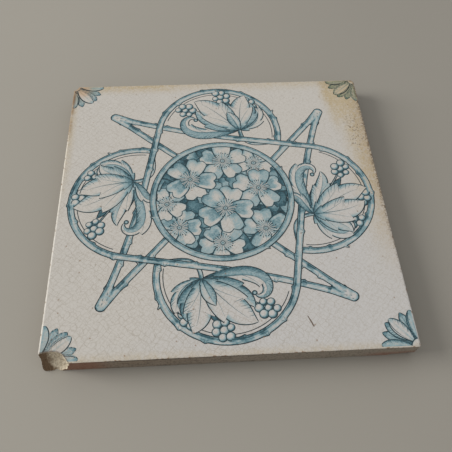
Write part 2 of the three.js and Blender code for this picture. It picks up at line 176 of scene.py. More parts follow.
class TileStageSettings(bpy.types.PropertyGroup):
    """The floor, the camera and the light"""

    floor: colour("Floor", "The pale studio floor", 156, 151, 141)
    lens: bpy.props.FloatProperty(
        name="Lens", description="Focal length of the camera", default=42.28, unit="CAMERA"
    )
    ambient: bpy.props.FloatProperty(
        name="Ambient", description="Strength of the light from all round", default=0.6, min=0
    )
    key: bpy.props.FloatProperty(
        name="Key lamp", description="Power of the soft lamp on the left", default=188, unit="POWER"
    )


# Points and paths on the face


def headings(path):
    """The direction of a path at each of its points."""
    steps = np.gradient(path)
    return steps / abs(steps)


def evenly(path, spacing):
    """The path again, with points the same distance apart."""
    travelled = np.concatenate([[0], np.cumsum(abs(np.diff(path)))])
    count = max(round(travelled[-1] / spacing), 2)
    return np.interp(np.linspace(0, travelled[-1], count + 1), travelled, path)


def arc(centre, radius, start, end, steps=60):
    """Points on a circle between two directions in degrees."""
    return centre + radius * np.exp(1j * np.radians(np.linspace(start, end, steps + 1)))


def bezier(points, steps=40):
    """A curve that starts and ends at the first and last point and is pulled by those between."""
    share = np.linspace(0, 1, steps + 1)
    order = len(points) - 1
    terms = [
        math.comb(order, i) * share**i * (1 - share) ** (order - i) * point
        for i, point in enumerate(points)
    ]
    return np.sum(terms, axis=0)


def growing(base, start, size, bend=0.0, curl=0.0, steps=54):
    """A path that sets out at an angle, turns by bend all the way and by curl towards its end."""
    share = np.linspace(0, 1, steps + 1)
    angles = np.radians(start + bend * share + curl * share**4)
    moves = np.exp(0.5j * (angles[1:] + angles[:-1])) * size / steps
    return base + np.concatenate([[0], np.cumsum(moves)])


def crossings(path, other):
    """Each crossing of two paths: the number of the path's point before it, and its place."""
    found = []
    b = np.diff(other)
    for i, (a0, a1) in enumerate(zip(path, path[1:])):
        a = a1 - a0
        gap = other[:-1] - a0
        across = (np.conj(a) * b).imag
        along_a = (np.conj(gap) * b).imag / across
        along_b = (np.conj(gap) * a).imag / across
        hits = (along_a >= 0) & (along_a < 1) & (along_b >= 0) & (along_b < 1)
        found += [(i, a0 + a * share) for share in along_a[hits]]
    return found


def smooth(value, low, high):
    """0 below low, 1 above high, and a soft step between them."""
    share = np.clip((np.asarray(value, float) - low) / (high - low), 0, 1)
    return share * share * (3 - 2 * share)


def ripple(path, size, seed):
    """A number between about -1 and 1 at each point of a path, which changes softly along it."""
    places = (Vector((point.real / size, point.imag / size, seed)) for point in path)
    return np.array([noise.noise(place) for place in places])


# Meshes


def new_object(name, mesh, material, slot, *nodes):
    """Adds a piece that rides on the tile and stands for the named nodes."""
    mesh.materials.clear()
    mesh.materials.append(material)
    piece = bpy.data.objects.new(name, mesh)
    bpy.context.scene.collection.objects.link(piece)
    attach(piece, "root")
    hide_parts(*nodes)


def add_ink(name, mesh, slot):
    """Adds a patch of ink, which stands for the print's node of that name."""
    new_object("ink_" + name, mesh, printed_glaze(), slot, "print_" + name)


def quads(rows, after):
    """The faces between rows of point numbers and the rows that follow them."""
    corners_in_turn = (rows[:, :-1], after[:, :-1], after[:, 1:], rows[:, 1:])
    return list(zip(*(numbers.ravel() for numbers in corners_in_turn)))


class InkPatch:
    """One patch of print: thin closed sheets on the face, each point with its tone of ink."""

    def __init__(self):
        self.points = []
        self.tones = []
        self.faces = []

    def sheet(self, rows, tones, layer, closed=False, curved=False):
        """Adds a sheet from rows of points. A closed one runs from its last row to its first. The
        underside of a curved one has all its points, and of another only those of its edges."""
        rows = np.asarray(rows)
        tones = np.broadcast_to(tones, rows.shape)
        heights = FACE_HEIGHT + INK_LAYER * np.broadcast_to(np.reshape(layer, (-1, 1)), rows.shape)
        spans = np.diff(rows[:, [0, -1]], axis=1)[:-1, 0]
        turn = (np.conj(np.diff(rows.mean(axis=1))) * spans).imag.sum()
        kept = np.arange(rows.shape[1]) if curved else np.array([0, -1])
        top = self.add_points(rows, tones, heights)
        sunk = np.full(rows[:, kept].shape, FACE_HEIGHT - INK_SUNK)
        low = self.add_points(rows[:, kept], tones[:, kept], sunk)
        after = np.roll(np.arange(len(rows)), -1)[: len(rows) if closed else -1]
        faces = quads(top[: len(after)], top[after]) + quads(low[after], low[: len(after)])
        for i, j in enumerate(after):
            faces.append((top[i, 0], low[i, 0], low[j, 0], top[j, 0]))
            faces.append((top[i, -1], top[j, -1], low[j, -1], low[i, -1]))
        if not closed and curved:
            faces += quads(low[:1], top[:1]) + quads(top[-1:], low[-1:])
        elif not closed:
            faces += [(*top[0], *low[0, ::-1]), (*top[-1, ::-1], *low[-1])]
        self.faces += [face if turn > 0 else face[::-1] for face in faces]

    def add_points(self, rows, tones, heights):
        """Adds points, and gives their numbers in the same rows."""
        first = len(self.points)
        self.points += zip(*(values.ravel() * MM for values in (rows.real, rows.imag, heights)))
        self.tones += list(tones.ravel())
        return first + np.arange(rows.size).reshape(rows.shape)

    def mesh(self, name):
        """The mesh of the patch, with the attribute tone."""
        mesh = bpy.data.meshes.new(name)
        mesh.from_pydata(self.points, [], self.faces)
        attribute = mesh.attributes.new("tone", "FLOAT", "POINT")
        attribute.data.foreach_set("value", np.array(self.tones, np.float32))
        mesh.update()
        return mesh


# Drawing with ink. A tone of 0 leaves the glaze bare, and a tone of 1 is a drawn line. Each sheet
# of ink lies on a layer, counted from the face upwards.

# The side of each branch, leaf and petal that is shaded, as if its light came from the front right
SHADED_SIDE = np.exp(1j * math.radians(118))

# How many layers the shading lies over the dark shape that its outline is the rim of
FILL_LIFT = 0.3

# Across a branch, from -1 on its lit side to 1 on its shaded side: where its points are, and the
# places and tones of its shading
BRANCH_ACROSS = np.array([-1, -0.86, -0.7, -0.54, -0.38, -0.14, 0.14, 0.38, 0.54, 0.7, 0.86, 1])
BRANCH_PLACES = (-1, -0.86, -0.6, -0.1, 0.22, 0.42, 0.58, 0.76, 1)
BRANCH_TONES = (0.34, 0.24, 0.12, 0.18, 0.38, 0.7, 0.76, 0.46, 0.4)
BRANCH_SPACING = 0.5

# How far the darker ends of a branch reach
DARK_REACH = 3.5

# The thorns of a branch: the least and most distance of the first from the start and of each from
# the one before, how far the last stays from the end, its height as a share of the branch's half
# width, and over what length it rises and falls
THORN_FIRST = (2.5, 6)
THORN_GAP = (9, 16)
THORN_LAST = 3
THORN_HEIGHT = 0.36
THORN_RISE = 1.5
THORN_FALL = 0.55

# Short strokes on the point of a scroll: how far from the tip and from the middle, and how long
POINT_MARKS = (
    (0.62, 0.3, 1.6),
    (0.4, -0.4, 1.3),
    (0.3, 0.5, 1.5),
    (0.1, 0.0, 1.2),
    (-0.04, 0.6, 1),
)

# The direction in degrees from which a round spot is lit
SPOT_LIGHT = 135

# How many layers a leaf falls towards its tip, so that each lobe lies over the next one
LEAF_SLOPE = 0.3

# Where the first tooth of a leaf starts along it, and the places of its shading from the midrib out
TOOTH_START = 0.16
LEAF_ACROSS = np.array([0.01, 0.12, 0.3, 0.5, 0.7, 0.84])

# A leaf's half whose palest tone is above this is dark, and is hatched all over
DARK_LEAF = 0.2


def line_width():
    """The width of the drawn outlines."""
    return bpy.context.scene.tile_print.outline / MM


def branch_tones(side, shift, across=BRANCH_ACROSS):
    """The shading across a branch whose left side faces the given way, for each of its points."""
    facing = (np.conj(side) * SHADED_SIDE).real
    left = smooth(facing, -0.3, 0.3)[:, None]
    shift = np.reshape(shift, (-1, 1))
    lit_right, lit_left = (
        np.interp(way * across - shift, BRANCH_PLACES, BRANCH_TONES) for way in (1, -1)
    )
    return left * lit_right + (1 - left) * lit_left


class Branch:
    """A branch with small thorns along a path, drawn as a dark shape and then as its shading."""

    def __init__(self, path, half, seed, thorns=True):
        self.path = evenly(path, BRANCH_SPACING)
        self.side = 1j * headings(self.path)
        self.share = np.linspace(0, 1, len(self.path))
        self.travelled = BRANCH_SPACING * np.arange(len(self.path))
        self.reach = [half * (1 + 0.035 * ripple(self.path, 4, seed + far)) for far in (0, 30)]
        broad, small = (ripple(self.path, size, seed + far) for size, far in ((6, 60), (2, 70)))
        self.patches = 1.7 * broad + 0.7 * small
        self.seed = seed
        self.thorns = []
        if thorns:
            self.grow_thorns(half)

    def grow_thorns(self, half):
        """Swells the branch at places along it, each time on one of its sides."""
        chance = random.Random(self.seed)
        place = chance.uniform(*THORN_FIRST)
        while place < self.travelled[-1] - THORN_LAST:
            side = chance.choice((0, 1))
            self.thorns.append((int(place / BRANCH_SPACING), side))
            gap = self.travelled - place
            fall = np.where(gap < 0, THORN_RISE, THORN_FALL)
            self.reach[side] += THORN_HEIGHT * half * np.exp(-((gap / fall) ** 2))
            place += chance.uniform(*THORN_GAP)

    def rows(self, across, inset=0.0):
        """The points across the branch, from its right side at -1 to its left side at 1."""
        right, left = (reach[:, None] - inset for reach in self.reach)
        width = np.where(across < 0, right, left)
        return self.path[:, None] + self.side[:, None] * width * across

    def layers(self, layer):
        """The layer at each point, from one layer or from shares of the path and their layers."""
        if np.ndim(layer) == 0:
            return np.broadcast_to(layer, self.path.shape)
        return np.interp(self.share, *layer)

    def strokes(self):
        """Noise drawn out along the branch, like the strokes of its shading."""
        return np.array(
            [
                [noise.noise(Vector((x, place / 3.5, self.seed))) for x in 4 * BRANCH_ACROSS]
                for place in self.travelled
            ]
        )

    def outline(self, patch, layer):
        """Draws the dark shape."""
        patch.sheet(self.rows(np.array([-1, 1])), 1.0, self.layers(layer))

    def fill(self, patch, layer, dark_ends=(0, 0), depth=1.0):
        """Draws the shading, darker at its ends by the given amounts. Depth is its contrast."""
        gaps = self.travelled, self.travelled[-1] - self.travelled
        start, end = (1 - smooth(gap, 0, DARK_REACH) for gap in gaps)
        dark = dark_ends[0] * start + dark_ends[1] * end
        tones = branch_tones(self.side, 0.1 - 0.15 * self.patches - 0.8 * dark)
        strokes = self.strokes()
        washed = 0.3 * smooth(self.patches, 0.3, 0.6) + 0.42 * dark
        tones = tones * (0.95 + 0.2 * self.patches)[:, None]
        tones = tones + washed[:, None] * (0.75 + 0.6 * strokes)
        tones = np.clip(depth * tones + 0.35 * (1 - depth) + 0.26 * strokes, 0.03, 0.86)
        heights = self.layers(layer) + FILL_LIFT
        patch.sheet(self.rows(BRANCH_ACROSS, line_width()), tones, heights)
        for number, side in self.thorns:
            middle = self.path[number]
            tip = self.rows(np.array([1 if side else -1]))[number, 0]
            for step in (-1, 1):
                ahead = -1j * self.side[number] * step
                between = 0.55 * tip + 0.45 * middle + 0.5 * ahead
                bend = np.array([tip, between, middle + 1.1 * ahead])
                lay_stroke(patch, bend, 0.1, heights[number] + 0.2, 0.85)


def lay_band(patch, path, half, layer, seed, dark_ends=(0, 0), thorns=True, depth=1.0):
    """Draws a whole branch."""
    branch = Branch(path, half, seed, thorns)
    branch.outline(patch, layer)
    branch.fill(patch, layer, dark_ends, depth)


def lay_point(patch, tip, outward, homeward, half, layer):
    """Draws the rounded point that two branches run into, from the tip back to where they part."""
    axis = outward + homeward
    axis = axis / abs(axis)
    spread = abs(np.angle(outward / axis))
    reach = half / math.sin(spread)
    end = 1.45 * half
    cap = 1.3 * half
    round_ways = -np.sin(np.linspace(0.1, math.pi / 2, 14))
    ways = np.concatenate([np.linspace(reach + 0.5, 0, 12), round_ways])
    round_end = np.sqrt(1 - np.minimum(ways, 0) ** 2)
    straight = end + (2 * half / math.cos(spread) - end) * np.maximum(ways, 0) / reach

    def middles_and_rows(across, inset):
        widths = np.maximum(straight * round_end - inset, 0.02)
        middles = tip + axis * np.where(ways < 0, ways * (cap - inset), ways)
        return middles, middles[:, None] + 1j * axis * widths[:, None] * across

    patch.sheet(middles_and_rows(np.array([-1.0, 1.0]), 0)[1], 1.0, layer)

    inside = np.linspace(-1, 1, 21)
    middles, rows = middles_and_rows(inside, line_width())
    parted = np.where(inside > 0, 2 * inside - 1, 2 * inside + 1)
    shift = 0.1 - 0.4 * ripple(middles, 3, 5)
    branches = branch_tones(np.full(len(ways), 1j * axis), shift, parted)
    joined = 0.1 + 0.42 * abs(inside) ** 3 + 0.34 * smooth(-ways, 0.3, 0.9)[:, None]
    share = smooth(ways / reach, 0.3, 0.95)[:, None]
    tones = share * branches + (1 - share) * (joined + 0.3 * ripple(middles, 2, 8)[:, None])
    patch.sheet(rows, np.clip(tones, 0.04, 0.72), layer + FILL_LIFT)

    cleft = tip + axis * np.linspace(reach + 1.4, reach - 1, 8)
    lay_stroke(patch, cleft, 0.36, layer + 0.6, 0.95)
    for way, across, size in POINT_MARKS:
        stroke = np.linspace(0, size, 4) * np.exp(0.3j)
        mark = tip + axis * (way * reach + 1j * across * half + stroke)
        lay_stroke(patch, mark, 0.16, layer + 0.6, 0.7)


def lay_stroke(patch, path, half, layer, tone=0.9, taper=1.0):
    """Draws a line that thins towards its end."""
    path = np.asarray(path)
    side = 1j * headings(path)
    share = np.linspace(0, 1, len(path))
    width = half * (1 - taper * share**1.5) + 0.03
    patch.sheet(np.stack([path - side * width, path + side * width], axis=1), tone, layer)


def lay_disc(patch, centre, radius, shares, tones, layer, light=0.0, steps=18):
    """Draws a round spot with a tone at each share of its radius, darker away from the light."""
    angles = np.linspace(0, 2 * np.pi, steps, endpoint=False)
    shares = np.array(shares)
    rows = centre + radius * np.exp(1j * angles)[:, None] * shares
    away = -np.cos(angles - np.radians(SPOT_LIGHT))[:, None] * shares * light
    shaded = np.clip(np.array(tones) + np.where(np.array(tones) < 0.9, away, 0), 0, 1)
    patch.sheet(rows, shaded, layer, closed=True)


def leaf_tones(share, shares, bare, shade, shaded, tooth):
    """The tones of half a leaf, which is darker by its shaded rim, its midrib and its notches."""
    tones = bare + shade * shaded * smooth(shares, 0.3, 1.0) + 0.05 * smooth(shares, 0.6, 1.0)
    tones = tones + 0.7 * shade * (1 - smooth(shares, 0.0, 0.22)) * (1 - 0.8 * share)[:, None]
    return tones + 0.7 * (1 - tooth)[:, None] ** 2 * smooth(shares, 0.5, 0.95)


def lay_tooth_veins(patch, midrib, rim, count, layer):
    """Draws a fine vein from the midrib to the tip of each tooth but the last."""
    for number in range(count - 1):
        root, tip = (
            int((TOOTH_START + (1 - TOOTH_START) * (number + way) / count) * len(midrib))
            for way in (0, 0.95)
        )
        bend = midrib[(root + tip) // 2] + rim[tip] * 0.22
        vein = bezier([midrib[root], bend, midrib[tip] + rim[tip] * 0.7], 6)
        lay_stroke(patch, vein, 0.09, layer + LEAF_SLOPE + 0.1, 0.6)


def lay_hatching(patch, midrib, rim, facing, count, least, layer):
    """Draws short strokes from a leaf's rim inwards, where it faces its shaded side enough."""
    for place in np.linspace(0.12, 0.9, count):
        number = int(place * len(midrib))
        if facing[number] > least:
            inner = 0.5 + 0.2 * math.sin(40 * place)
            end = midrib[max(number - 3, 0)] + rim[number] * inner
            stroke = np.linspace(midrib[number] + rim[number] * 0.95, end, 4)
            lay_stroke(patch, stroke, 0.11, layer + LEAF_SLOPE + 0.15, 0.76)


def lay_leaf(
    patch,
    midrib,
    half,
    layer,
    teeth=(0, 0),
    notch=0.3,
    lean=0.0,
    fullest=0.45,
    pale=(0.02, 0.02),
    shade=0.3,
    root=0.7,
    tip=0.0,
    vein=0.85,
    hatch=0,
    fold=0.0,
    weight=1.0,
    roundness=0.85,
):
    """Draws a leaf or petal about its midrib.

    The teeth and the pale tones are those of its left and right halves. The notches between the
    teeth are a share of its width, and the teeth lean forward. It is fullest at a share of its
    length. Root and tip say how much darker its ends are, fold how far out its crease is, hatch
    how many strokes a half may have, and weight how heavy its outline is.
    """
    line = line_width() * weight
    count = len(midrib)
    share = np.linspace(0, 1, count)
    width = half * np.sin(np.pi * share ** (math.log(0.5) / math.log(fullest))) ** roundness + 0.06
    ahead = headings(midrib)
    along = np.clip((share - TOOTH_START) / (1 - TOOTH_START), 0, 1)
    dark_ends = root * np.exp(-((share / 0.15) ** 1.5)) + tip * smooth(share, 0.8, 0.94)
    points = []
    tones = []
    for side, number, bare in zip((1, -1), teeth, pale):
        phase = np.where(along > 0, along * number % 1, 1) if number else np.ones(count)
        tooth = phase**0.65
        forward = lean * ahead * tooth * np.sin(np.pi * share)
        rim = width * (1 - notch * (1 - tooth)) * (side * 1j * ahead + forward)
        size = np.maximum(abs(rim), 0.05)
        facing = (np.conj(rim) * SHADED_SIDE).real / size
        shaded = smooth(facing, -0.1, 0.6)[:, None]
        outer = np.stack([1 - 1.25 * line / size, 1 - line / size, np.ones(count)], axis=1)
        outer = np.maximum(outer, np.array([0.3, 0.5, 1.0]))
        inner = np.minimum(LEAF_ACROSS, outer[:, :1] * LEAF_ACROSS / 0.9)
        shares = np.concatenate([inner, outer], axis=1)
        body = leaf_tones(share, shares, bare, shade, shaded, tooth) + dark_ends[:, None]
        body = np.clip(body, 0, 0.88)
        body[:, -2:] = 1.0
        points.append(midrib[:, None] + rim[:, None] * shares)
        tones.append(body)
        lay_tooth_veins(patch, midrib, rim, number, layer)
        lay_hatching(patch, midrib, rim, facing, hatch, -1 if bare > DARK_LEAF else 0.1, layer)
    rows, shading = (
        np.concatenate([left[:, ::-1], right], axis=1) for left, right in (points, tones)
    )
    patch.sheet(rows, shading, layer + LEAF_SLOPE * (1 - share))
    if fold:
        crease = midrib + 1j * ahead * width * fold
        crease = crease[int(0.2 * count) : int(0.93 * count)][::-1]
        lay_stroke(patch, crease, 0.16, layer + LEAF_SLOPE + 0.2, 0.9)
    if vein:
        lay_stroke(patch, midrib[: int(0.86 * count)], 0.15, layer + LEAF_SLOPE + 0.2, vein)


def lay_petal(patch, base, direction, reach, half, layer, wash, folded, limit, pale=0.03, dull=0.0):
    """Draws a heart-shaped petal, washed with ink at its base and on its folded side."""
    line = 0.8 * line_width()
    rim_out, rim_across = ((1 - 1.7 * line / size, 1 - line / size, 1) for size in (reach, half))
    out = np.array([0.12, 0.24, 0.36, 0.5, 0.66, 0.8, 0.9, *rim_out])
    across = np.array([0, 0.2, 0.42, 0.52, 0.72, 0.82, *rim_across])
    across = np.concatenate([-across[:0:-1], across])
    cap = 0.74 + 0.26 * np.sqrt(1 - across**2) - 0.13 * np.exp(-((across / 0.22) ** 2))
    spread = 0.3 + 0.7 * np.sin(np.minimum(out / 0.85, 1) * np.pi / 2)
    ahead = out[:, None] * cap * reach
    rows = base + direction * (ahead + 1j * spread[:, None] * across * half)
    rows = np.where(abs(rows) > limit, rows * limit / abs(rows), rows)

    rim = np.maximum(abs(across)[None, :] ** 2, out[:, None] ** 3) * np.ones(rows.shape)
    outward = direction * (1j * across[None, :] + out[:, None] - 0.4)
    facing = (outward * np.conj(SHADED_SIDE)).real / abs(outward)
    body = wash * (1 - smooth(out, 0.28, 0.46))[:, None] + pale
    body = body + 0.46 * rim**2 * smooth(facing, -0.1, 0.6) + 0.06 * rim
    if folded:
        body = body + abs(folded) * smooth(across * math.copysign(1, folded), 0.0, 0.12)
    if dull:
        middle = 1 - smooth(abs(across), 0.52, 0.72)
        body = body + dull * middle * (1 - smooth(out, 0.66, 0.86))[:, None]
    body = np.clip(body, 0, 0.8)
    body[:, :2] = 0.94
    body[:, -2:] = 0.94
    body[-2:, :] = 0.94
    patch.sheet(rows, body, layer, curved=True)

    turns = (-0.36, -0.18, 0, 0.18, 0.36) if dull else (-0.3, 0, 0.3)
    places = np.linspace(0.3, 0.74 if dull else 0.55, 5)
    for turn in turns:
        vein = base + direction * np.exp(1j * turn) * reach * places
        if abs(vein[-1]) < limit - 0.3:
            lay_stroke(patch, vein, 0.09, layer + 0.05, 0.5)


# The scroll of the right-hand lobe, which the other three repeat a quarter turn apart

# How far the scroll and the curl stay off the roundel, and where they pass it, in degrees
SCROLL_CLEARANCE = 1.6
CURL_CLEARANCE = 0.9
CURL_ANGLE = -32

# Where the lobe's arc starts and where the return meets the roundel, in degrees
LOBE_START = -150
HOME_ANGLE = 129

# How hard the scroll is pulled along the roundel and towards its point, and the way it comes there
LEAVING_PULL = 20
ARRIVING_PULL = 22
ARRIVING_ANGLE = -20

# How far below the lobe's middle line the spray's base lies, and how far past the crossing band
SPRAY_DROP = 11
SPRAY_STEP = 4.4


class ScrollPaths:
    """The paths of the right-hand lobe, each of them a list of points on the face."""

    def __init__(self, sizes):
        half = sizes.scroll_band / MM / 2
        self.half = half
        self.stem_half = sizes.stem_width / MM / 2
        self.lobe_line = sizes.lobe_radius / MM - half
        self.lobe_centre = SCROLL_HIGH.x - sizes.lobe_radius / MM
        self.tip = sizes.point_reach / MM * (-1 + 1j)
        ring = sizes.ring_radius / MM

        pass_radius = ring + SCROLL_CLEARANCE + half
        pass_sine = (pass_radius - self.lobe_line) / self.lobe_centre
        pass_angle = 90 - math.degrees(math.asin(pass_sine))
        passing = pass_radius * np.exp(1j * math.radians(pass_angle))
        leaving = passing * (1 + LEAVING_PULL * 1j / pass_radius)
        arriving = self.tip + ARRIVING_PULL * np.exp(1j * math.radians(ARRIVING_ANGLE))
        lobe = arc(self.lobe_centre, self.lobe_line, LOBE_START, pass_angle)
        whole = np.concatenate([lobe, bezier([passing, leaving, arriving, self.tip])[1:]])
        before = whole * -1j
        after = whole * 1j
        start, start_point = crossings(whole, before)[0]
        end, end_point = crossings(whole, after)[-1]
        self.scroll = np.concatenate([[start_point], whole[start + 1 : end + 1], [end_point]])

        ring_inside = ring - sizes.ring_band / MM
        home = np.array([self.tip, ring_inside * np.exp(1j * math.radians(HOME_ANGLE))])
        over = crossings(home, after)[0][1]
        self.outward = np.concatenate([[end_point], whole[end + 1 :]])
        self.homeward = np.array([self.tip, over])
        self.homecoming = np.array([over, home[1]])

        level = np.array([0, ring * 2]) - SPRAY_DROP * 1j
        self.spray_base = crossings(level, before)[0][1] + half + SPRAY_STEP
        beside = ring + CURL_CLEARANCE + self.stem_half
        beside = beside * np.exp(1j * math.radians(CURL_ANGLE))
        pulls = 1.12 * beside - 1.5j, 0.93 * beside + 3j, self.spray_base - 6
        self.curl = bezier([start_point, *pulls, self.spray_base])


# The operators, one for each piece or group of like pieces

# The roundel's twigs: the direction of each from the middle in degrees, and the way that it leans
RING_TWIGS = ((28, 1), (126, 1), (198, -1), (303, 1))

# How many petals show dimly between the blossoms, and the angle in degrees from each to the next,
# which spreads them evenly
UNDER_PETALS = 110
GOLDEN_ANGLE = 137.5

# A twig is a short stump: its length, and half its width on the way to its end
TWIG_SIZE = 2.2
TWIG_WIDTHS = 0.7 * np.array([1.7, 1.2, 0.95, 0.8, 0.65, 0.4])


class TILE_OT_roundel(bpy.types.Operator):
    """Prints the roundel's ring and its dark ground"""

    bl_idname = "tile.roundel"
    bl_label = "Roundel"

    def execute(self, context):
        sizes = context.scene.tile_print
        ring = sizes.ring_radius / MM
        half = sizes.ring_band / MM / 2
        patch = InkPatch()
        band = arc(0, ring - half, -30, 330, 200)
        lay_band(patch, band, half, INK_LAYERS - 0.6, 3, thorns=False, depth=0.6)
        for angle, lean in RING_TWIGS:
            outward = np.exp(1j * math.radians(angle))
            lay_twig(patch, (ring - 1) * outward, outward * np.exp(0.7j * lean), INK_LAYERS - 1)
        add_ink("roundel_ring", patch.mesh("ink_roundel_ring"), "mid_ink")

        ground = InkPatch()
        self.lay_ground(ground, ring - half)
        add_ink("roundel_ground", ground.mesh("ink_roundel_ground"), "dark_ink")
        return {"FINISHED"}

    def lay_ground(self, patch, radius):
        """Draws the dark ground, and dim petals strewn over it."""
        angles = np.linspace(0, 2 * np.pi, 96, endpoint=False)
        shares = np.linspace(0.01, 1, 24)
        rows = radius * np.exp(1j * angles)[:, None] * shares
        patchy = np.array([ripple(row, 3.5, 11) for row in rows])
        patch.sheet(rows, np.clip(0.8 + 0.4 * patchy, 0, 1), 0.3, closed=True)
        chance = random.Random(4)
        for i in range(UNDER_PETALS):
            heading = np.exp(1j * math.radians(i * GOLDEN_ANGLE))
            lay_petal(
                patch,
                heading * (radius - 3) * math.sqrt((i + 0.5) / UNDER_PETALS),
                np.exp(1j * chance.uniform(0, 2 * math.pi)),
                chance.uniform(8, 11),
                chance.uniform(3.6, 4.8),
                0.45 + i * 0.008,
                wash=0.35,
                folded=chance.choice((0, 0.15, -0.15)),
                limit=radius,
                pale=chance.uniform(0.2, 0.52),
            )


def lay_twig(patch, foot, direction, layer):
    """Draws a stump, which opens into the branch that it stands on."""
    path = foot + direction * np.linspace(0, TWIG_SIZE, len(TWIG_WIDTHS))
    side = 1j * direction * TWIG_WIDTHS
    patch.sheet(np.stack([path - side, path + side], axis=1), 1.0, layer)
    line = line_width()
    path[-1] -= direction * line
    side = 1j * direction * np.maximum(TWIG_WIDTHS - line, 0.1)
    fill = np.stack([path - side, path, path + side], axis=1)
    patch.sheet(fill, np.array([[0.12, 0.2, 0.5]]), layer + 0.75)


# Each blossom: its direction from the middle in degrees, its distance and its size
BLOSSOMS = (
    (-78, 6.1, 13.6),
    (143, 18.6, 13.2),
    (87, 22, 12.2),
    (16, 18.3, 12.8),
    (51, 26, 10.4),
    (186, 26, 10.4),
    (-142, 25.6, 11.8),
    (-92, 24.5, 11.6),
    (-43, 26, 12),
)
BLOSSOM_PETALS = 5
STAMENS = 24


class TILE_OT_blossoms(bpy.types.Operator):
    """Prints the nine blossoms of the roundel"""

    bl_idname = "tile.blossoms"
    bl_label = "Blossoms"

    def execute(self, context):
        sizes = context.scene.tile_print
        limit = sizes.ring_radius / MM - sizes.ring_band / MM / 2
        for i, (angle, distance, reach) in enumerate(BLOSSOMS):
            chance = random.Random(i)
            centre = distance * np.exp(1j * math.radians(angle))
            layer = 1 + (len(BLOSSOMS) - i) * 0.95
            patch = InkPatch()
            order = list(range(BLOSSOM_PETALS))
            chance.shuffle(order)
            for place, petal in enumerate(order):
                turn = math.radians(angle + 360 / BLOSSOM_PETALS * petal + chance.uniform(-6, 6))
                lay_petal(
                    patch,
                    centre,
                    np.exp(1j * turn),
                    reach * chance.uniform(0.9, 1.02),
                    reach * chance.uniform(0.37, 0.43),
                    layer + 0.08 * place,
                    wash=chance.uniform(0.26, 0.4),
                    folded=chance.choice((0, 0, 0, 0, 0.2, -0.2)),
                    dull=chance.choice((0, 0, 0.36)),
                    limit=limit,
                )
            lay_stamens(patch, centre, reach * 0.37, layer + 0.5, chance, limit)
            name = f"blossom_{i + 1}"
            add_ink(name, patch.mesh("ink_" + name), "pale_ink")
        return {"FINISHED"}


def lay_stamens(patch, centre, reach, layer, chance, limit):
    """Draws a blossom's heart, its pale rays, and dark ones with a dot at their ends."""
    for number in range(STAMENS):
        heading = np.exp(1j * (2 * math.pi * number / STAMENS + chance.uniform(-0.08, 0.08)))
        size = reach * chance.uniform(0.82, 1.15)
        path = centre + heading * np.linspace(0.9, size, 4)
        if abs(path[-1]) > limit - 0.4:
            continue
        lay_stroke(patch, path, 0.13, layer, 0.02, taper=0.4)
        between = heading * np.exp(1j * math.pi / STAMENS)
        ray = centre + between * np.linspace(0.9, size * 0.86, 4)
        lay_stroke(patch, ray, 0.07, layer + 0.1, 0.66)
        dot = centre + between * (size * 0.9 + 0.35)
        lay_disc(patch, dot, 0.3, (0.05, 1), (1, 1), layer + 0.2, steps=7)
    if abs(centre) < limit:
        shares = (0.02, 0.35, 0.4, 0.7, 0.75, 1)
        tones = (0.6, 0.6, 0.25, 0.2, 0.95, 0.9)
        lay_disc(patch, centre, 1.15, shares, tones, layer + 0.3)


# The layer of a band where it passes under another and over another, and how the scroll changes
# between them: shares of its path, and its layers there
UNDER = 1.5
OVER = 6
SCROLL_RISE = ((0, 0.08, 0.3, 0.42, 0.74, 0.84, 1), (UNDER, UNDER, UNDER, OVER, OVER, UNDER, UNDER))

# Where the scroll's twigs stand, as shares of its path
SCROLL_TWIGS = (0.12, 0.6)


class TILE_OT_scrolls(bpy.types.Operator):
    """Prints the four scrolls with their points, their returns and their curls"""

    bl_idname = "tile.scrolls"
    bl_label = "Scrolls"

    def execute(self, context):
        paths = ScrollPaths(context.scene.tile_print)
        for i, side in enumerate(SIDES):
            turn = 1j**i
            seed = 10 * i
            half = paths.half
            scroll, point, back, curl = patches = [InkPatch() for _ in range(4)]
            lay_band(scroll, paths.scroll * turn, half, SCROLL_RISE, seed, (0.7, 0.7))
            for share in SCROLL_TWIGS:
                add_twig(scroll, paths.scroll * turn, share, half, UNDER + 0.1)
            arms = paths.outward * turn, paths.homeward * turn
            lay_arms(point, paths.tip * turn, arms, half, seed + 1)
            lay_band(back, paths.homecoming * turn, half, UNDER - 0.3, seed + 3, (0.8, 0.8))
            stem = paths.curl * turn
            lay_band(curl, stem, paths.stem_half, UNDER - 0.2, seed + 4, (0.4, 0.4), thorns=False)
            for kind, patch in zip(("scroll", "point", "return", "curl"), patches):
                name = f"{kind}_{side}"
                add_ink(name, patch.mesh("ink_" + name), "mid_ink")
        return {"FINISHED"}


def lay_arms(patch, tip, arms, half, seed):
    """Draws the arm that goes out to a point and the arm that comes home, and then the point."""
    for number, (arm, dark_ends) in enumerate(zip(arms, ((0.8, 0), (0, 0.8)))):
        branch = Branch(arm, half, seed + number)
        branch.outline(patch, UNDER)
        branch.fill(patch, UNDER + 0.1 * number, dark_ends)
    ways = arms[0][-6] - tip, arms[1][1] - tip
    lay_point(patch, tip, *(way / abs(way) for way in ways), half, UNDER + 0.6)


def add_twig(patch, path, share, half, layer):
    """Draws a stump on the right side of a branch, at a share of its path."""
    path = evenly(path, 0.8)
    place = min(int(share * len(path)), len(path) - 2)
    ahead = headings(path)[place]
    foot = path[place] - 1j * ahead * half * 0.6
    lay_twig(patch, foot, ahead * np.exp(-1j), layer)


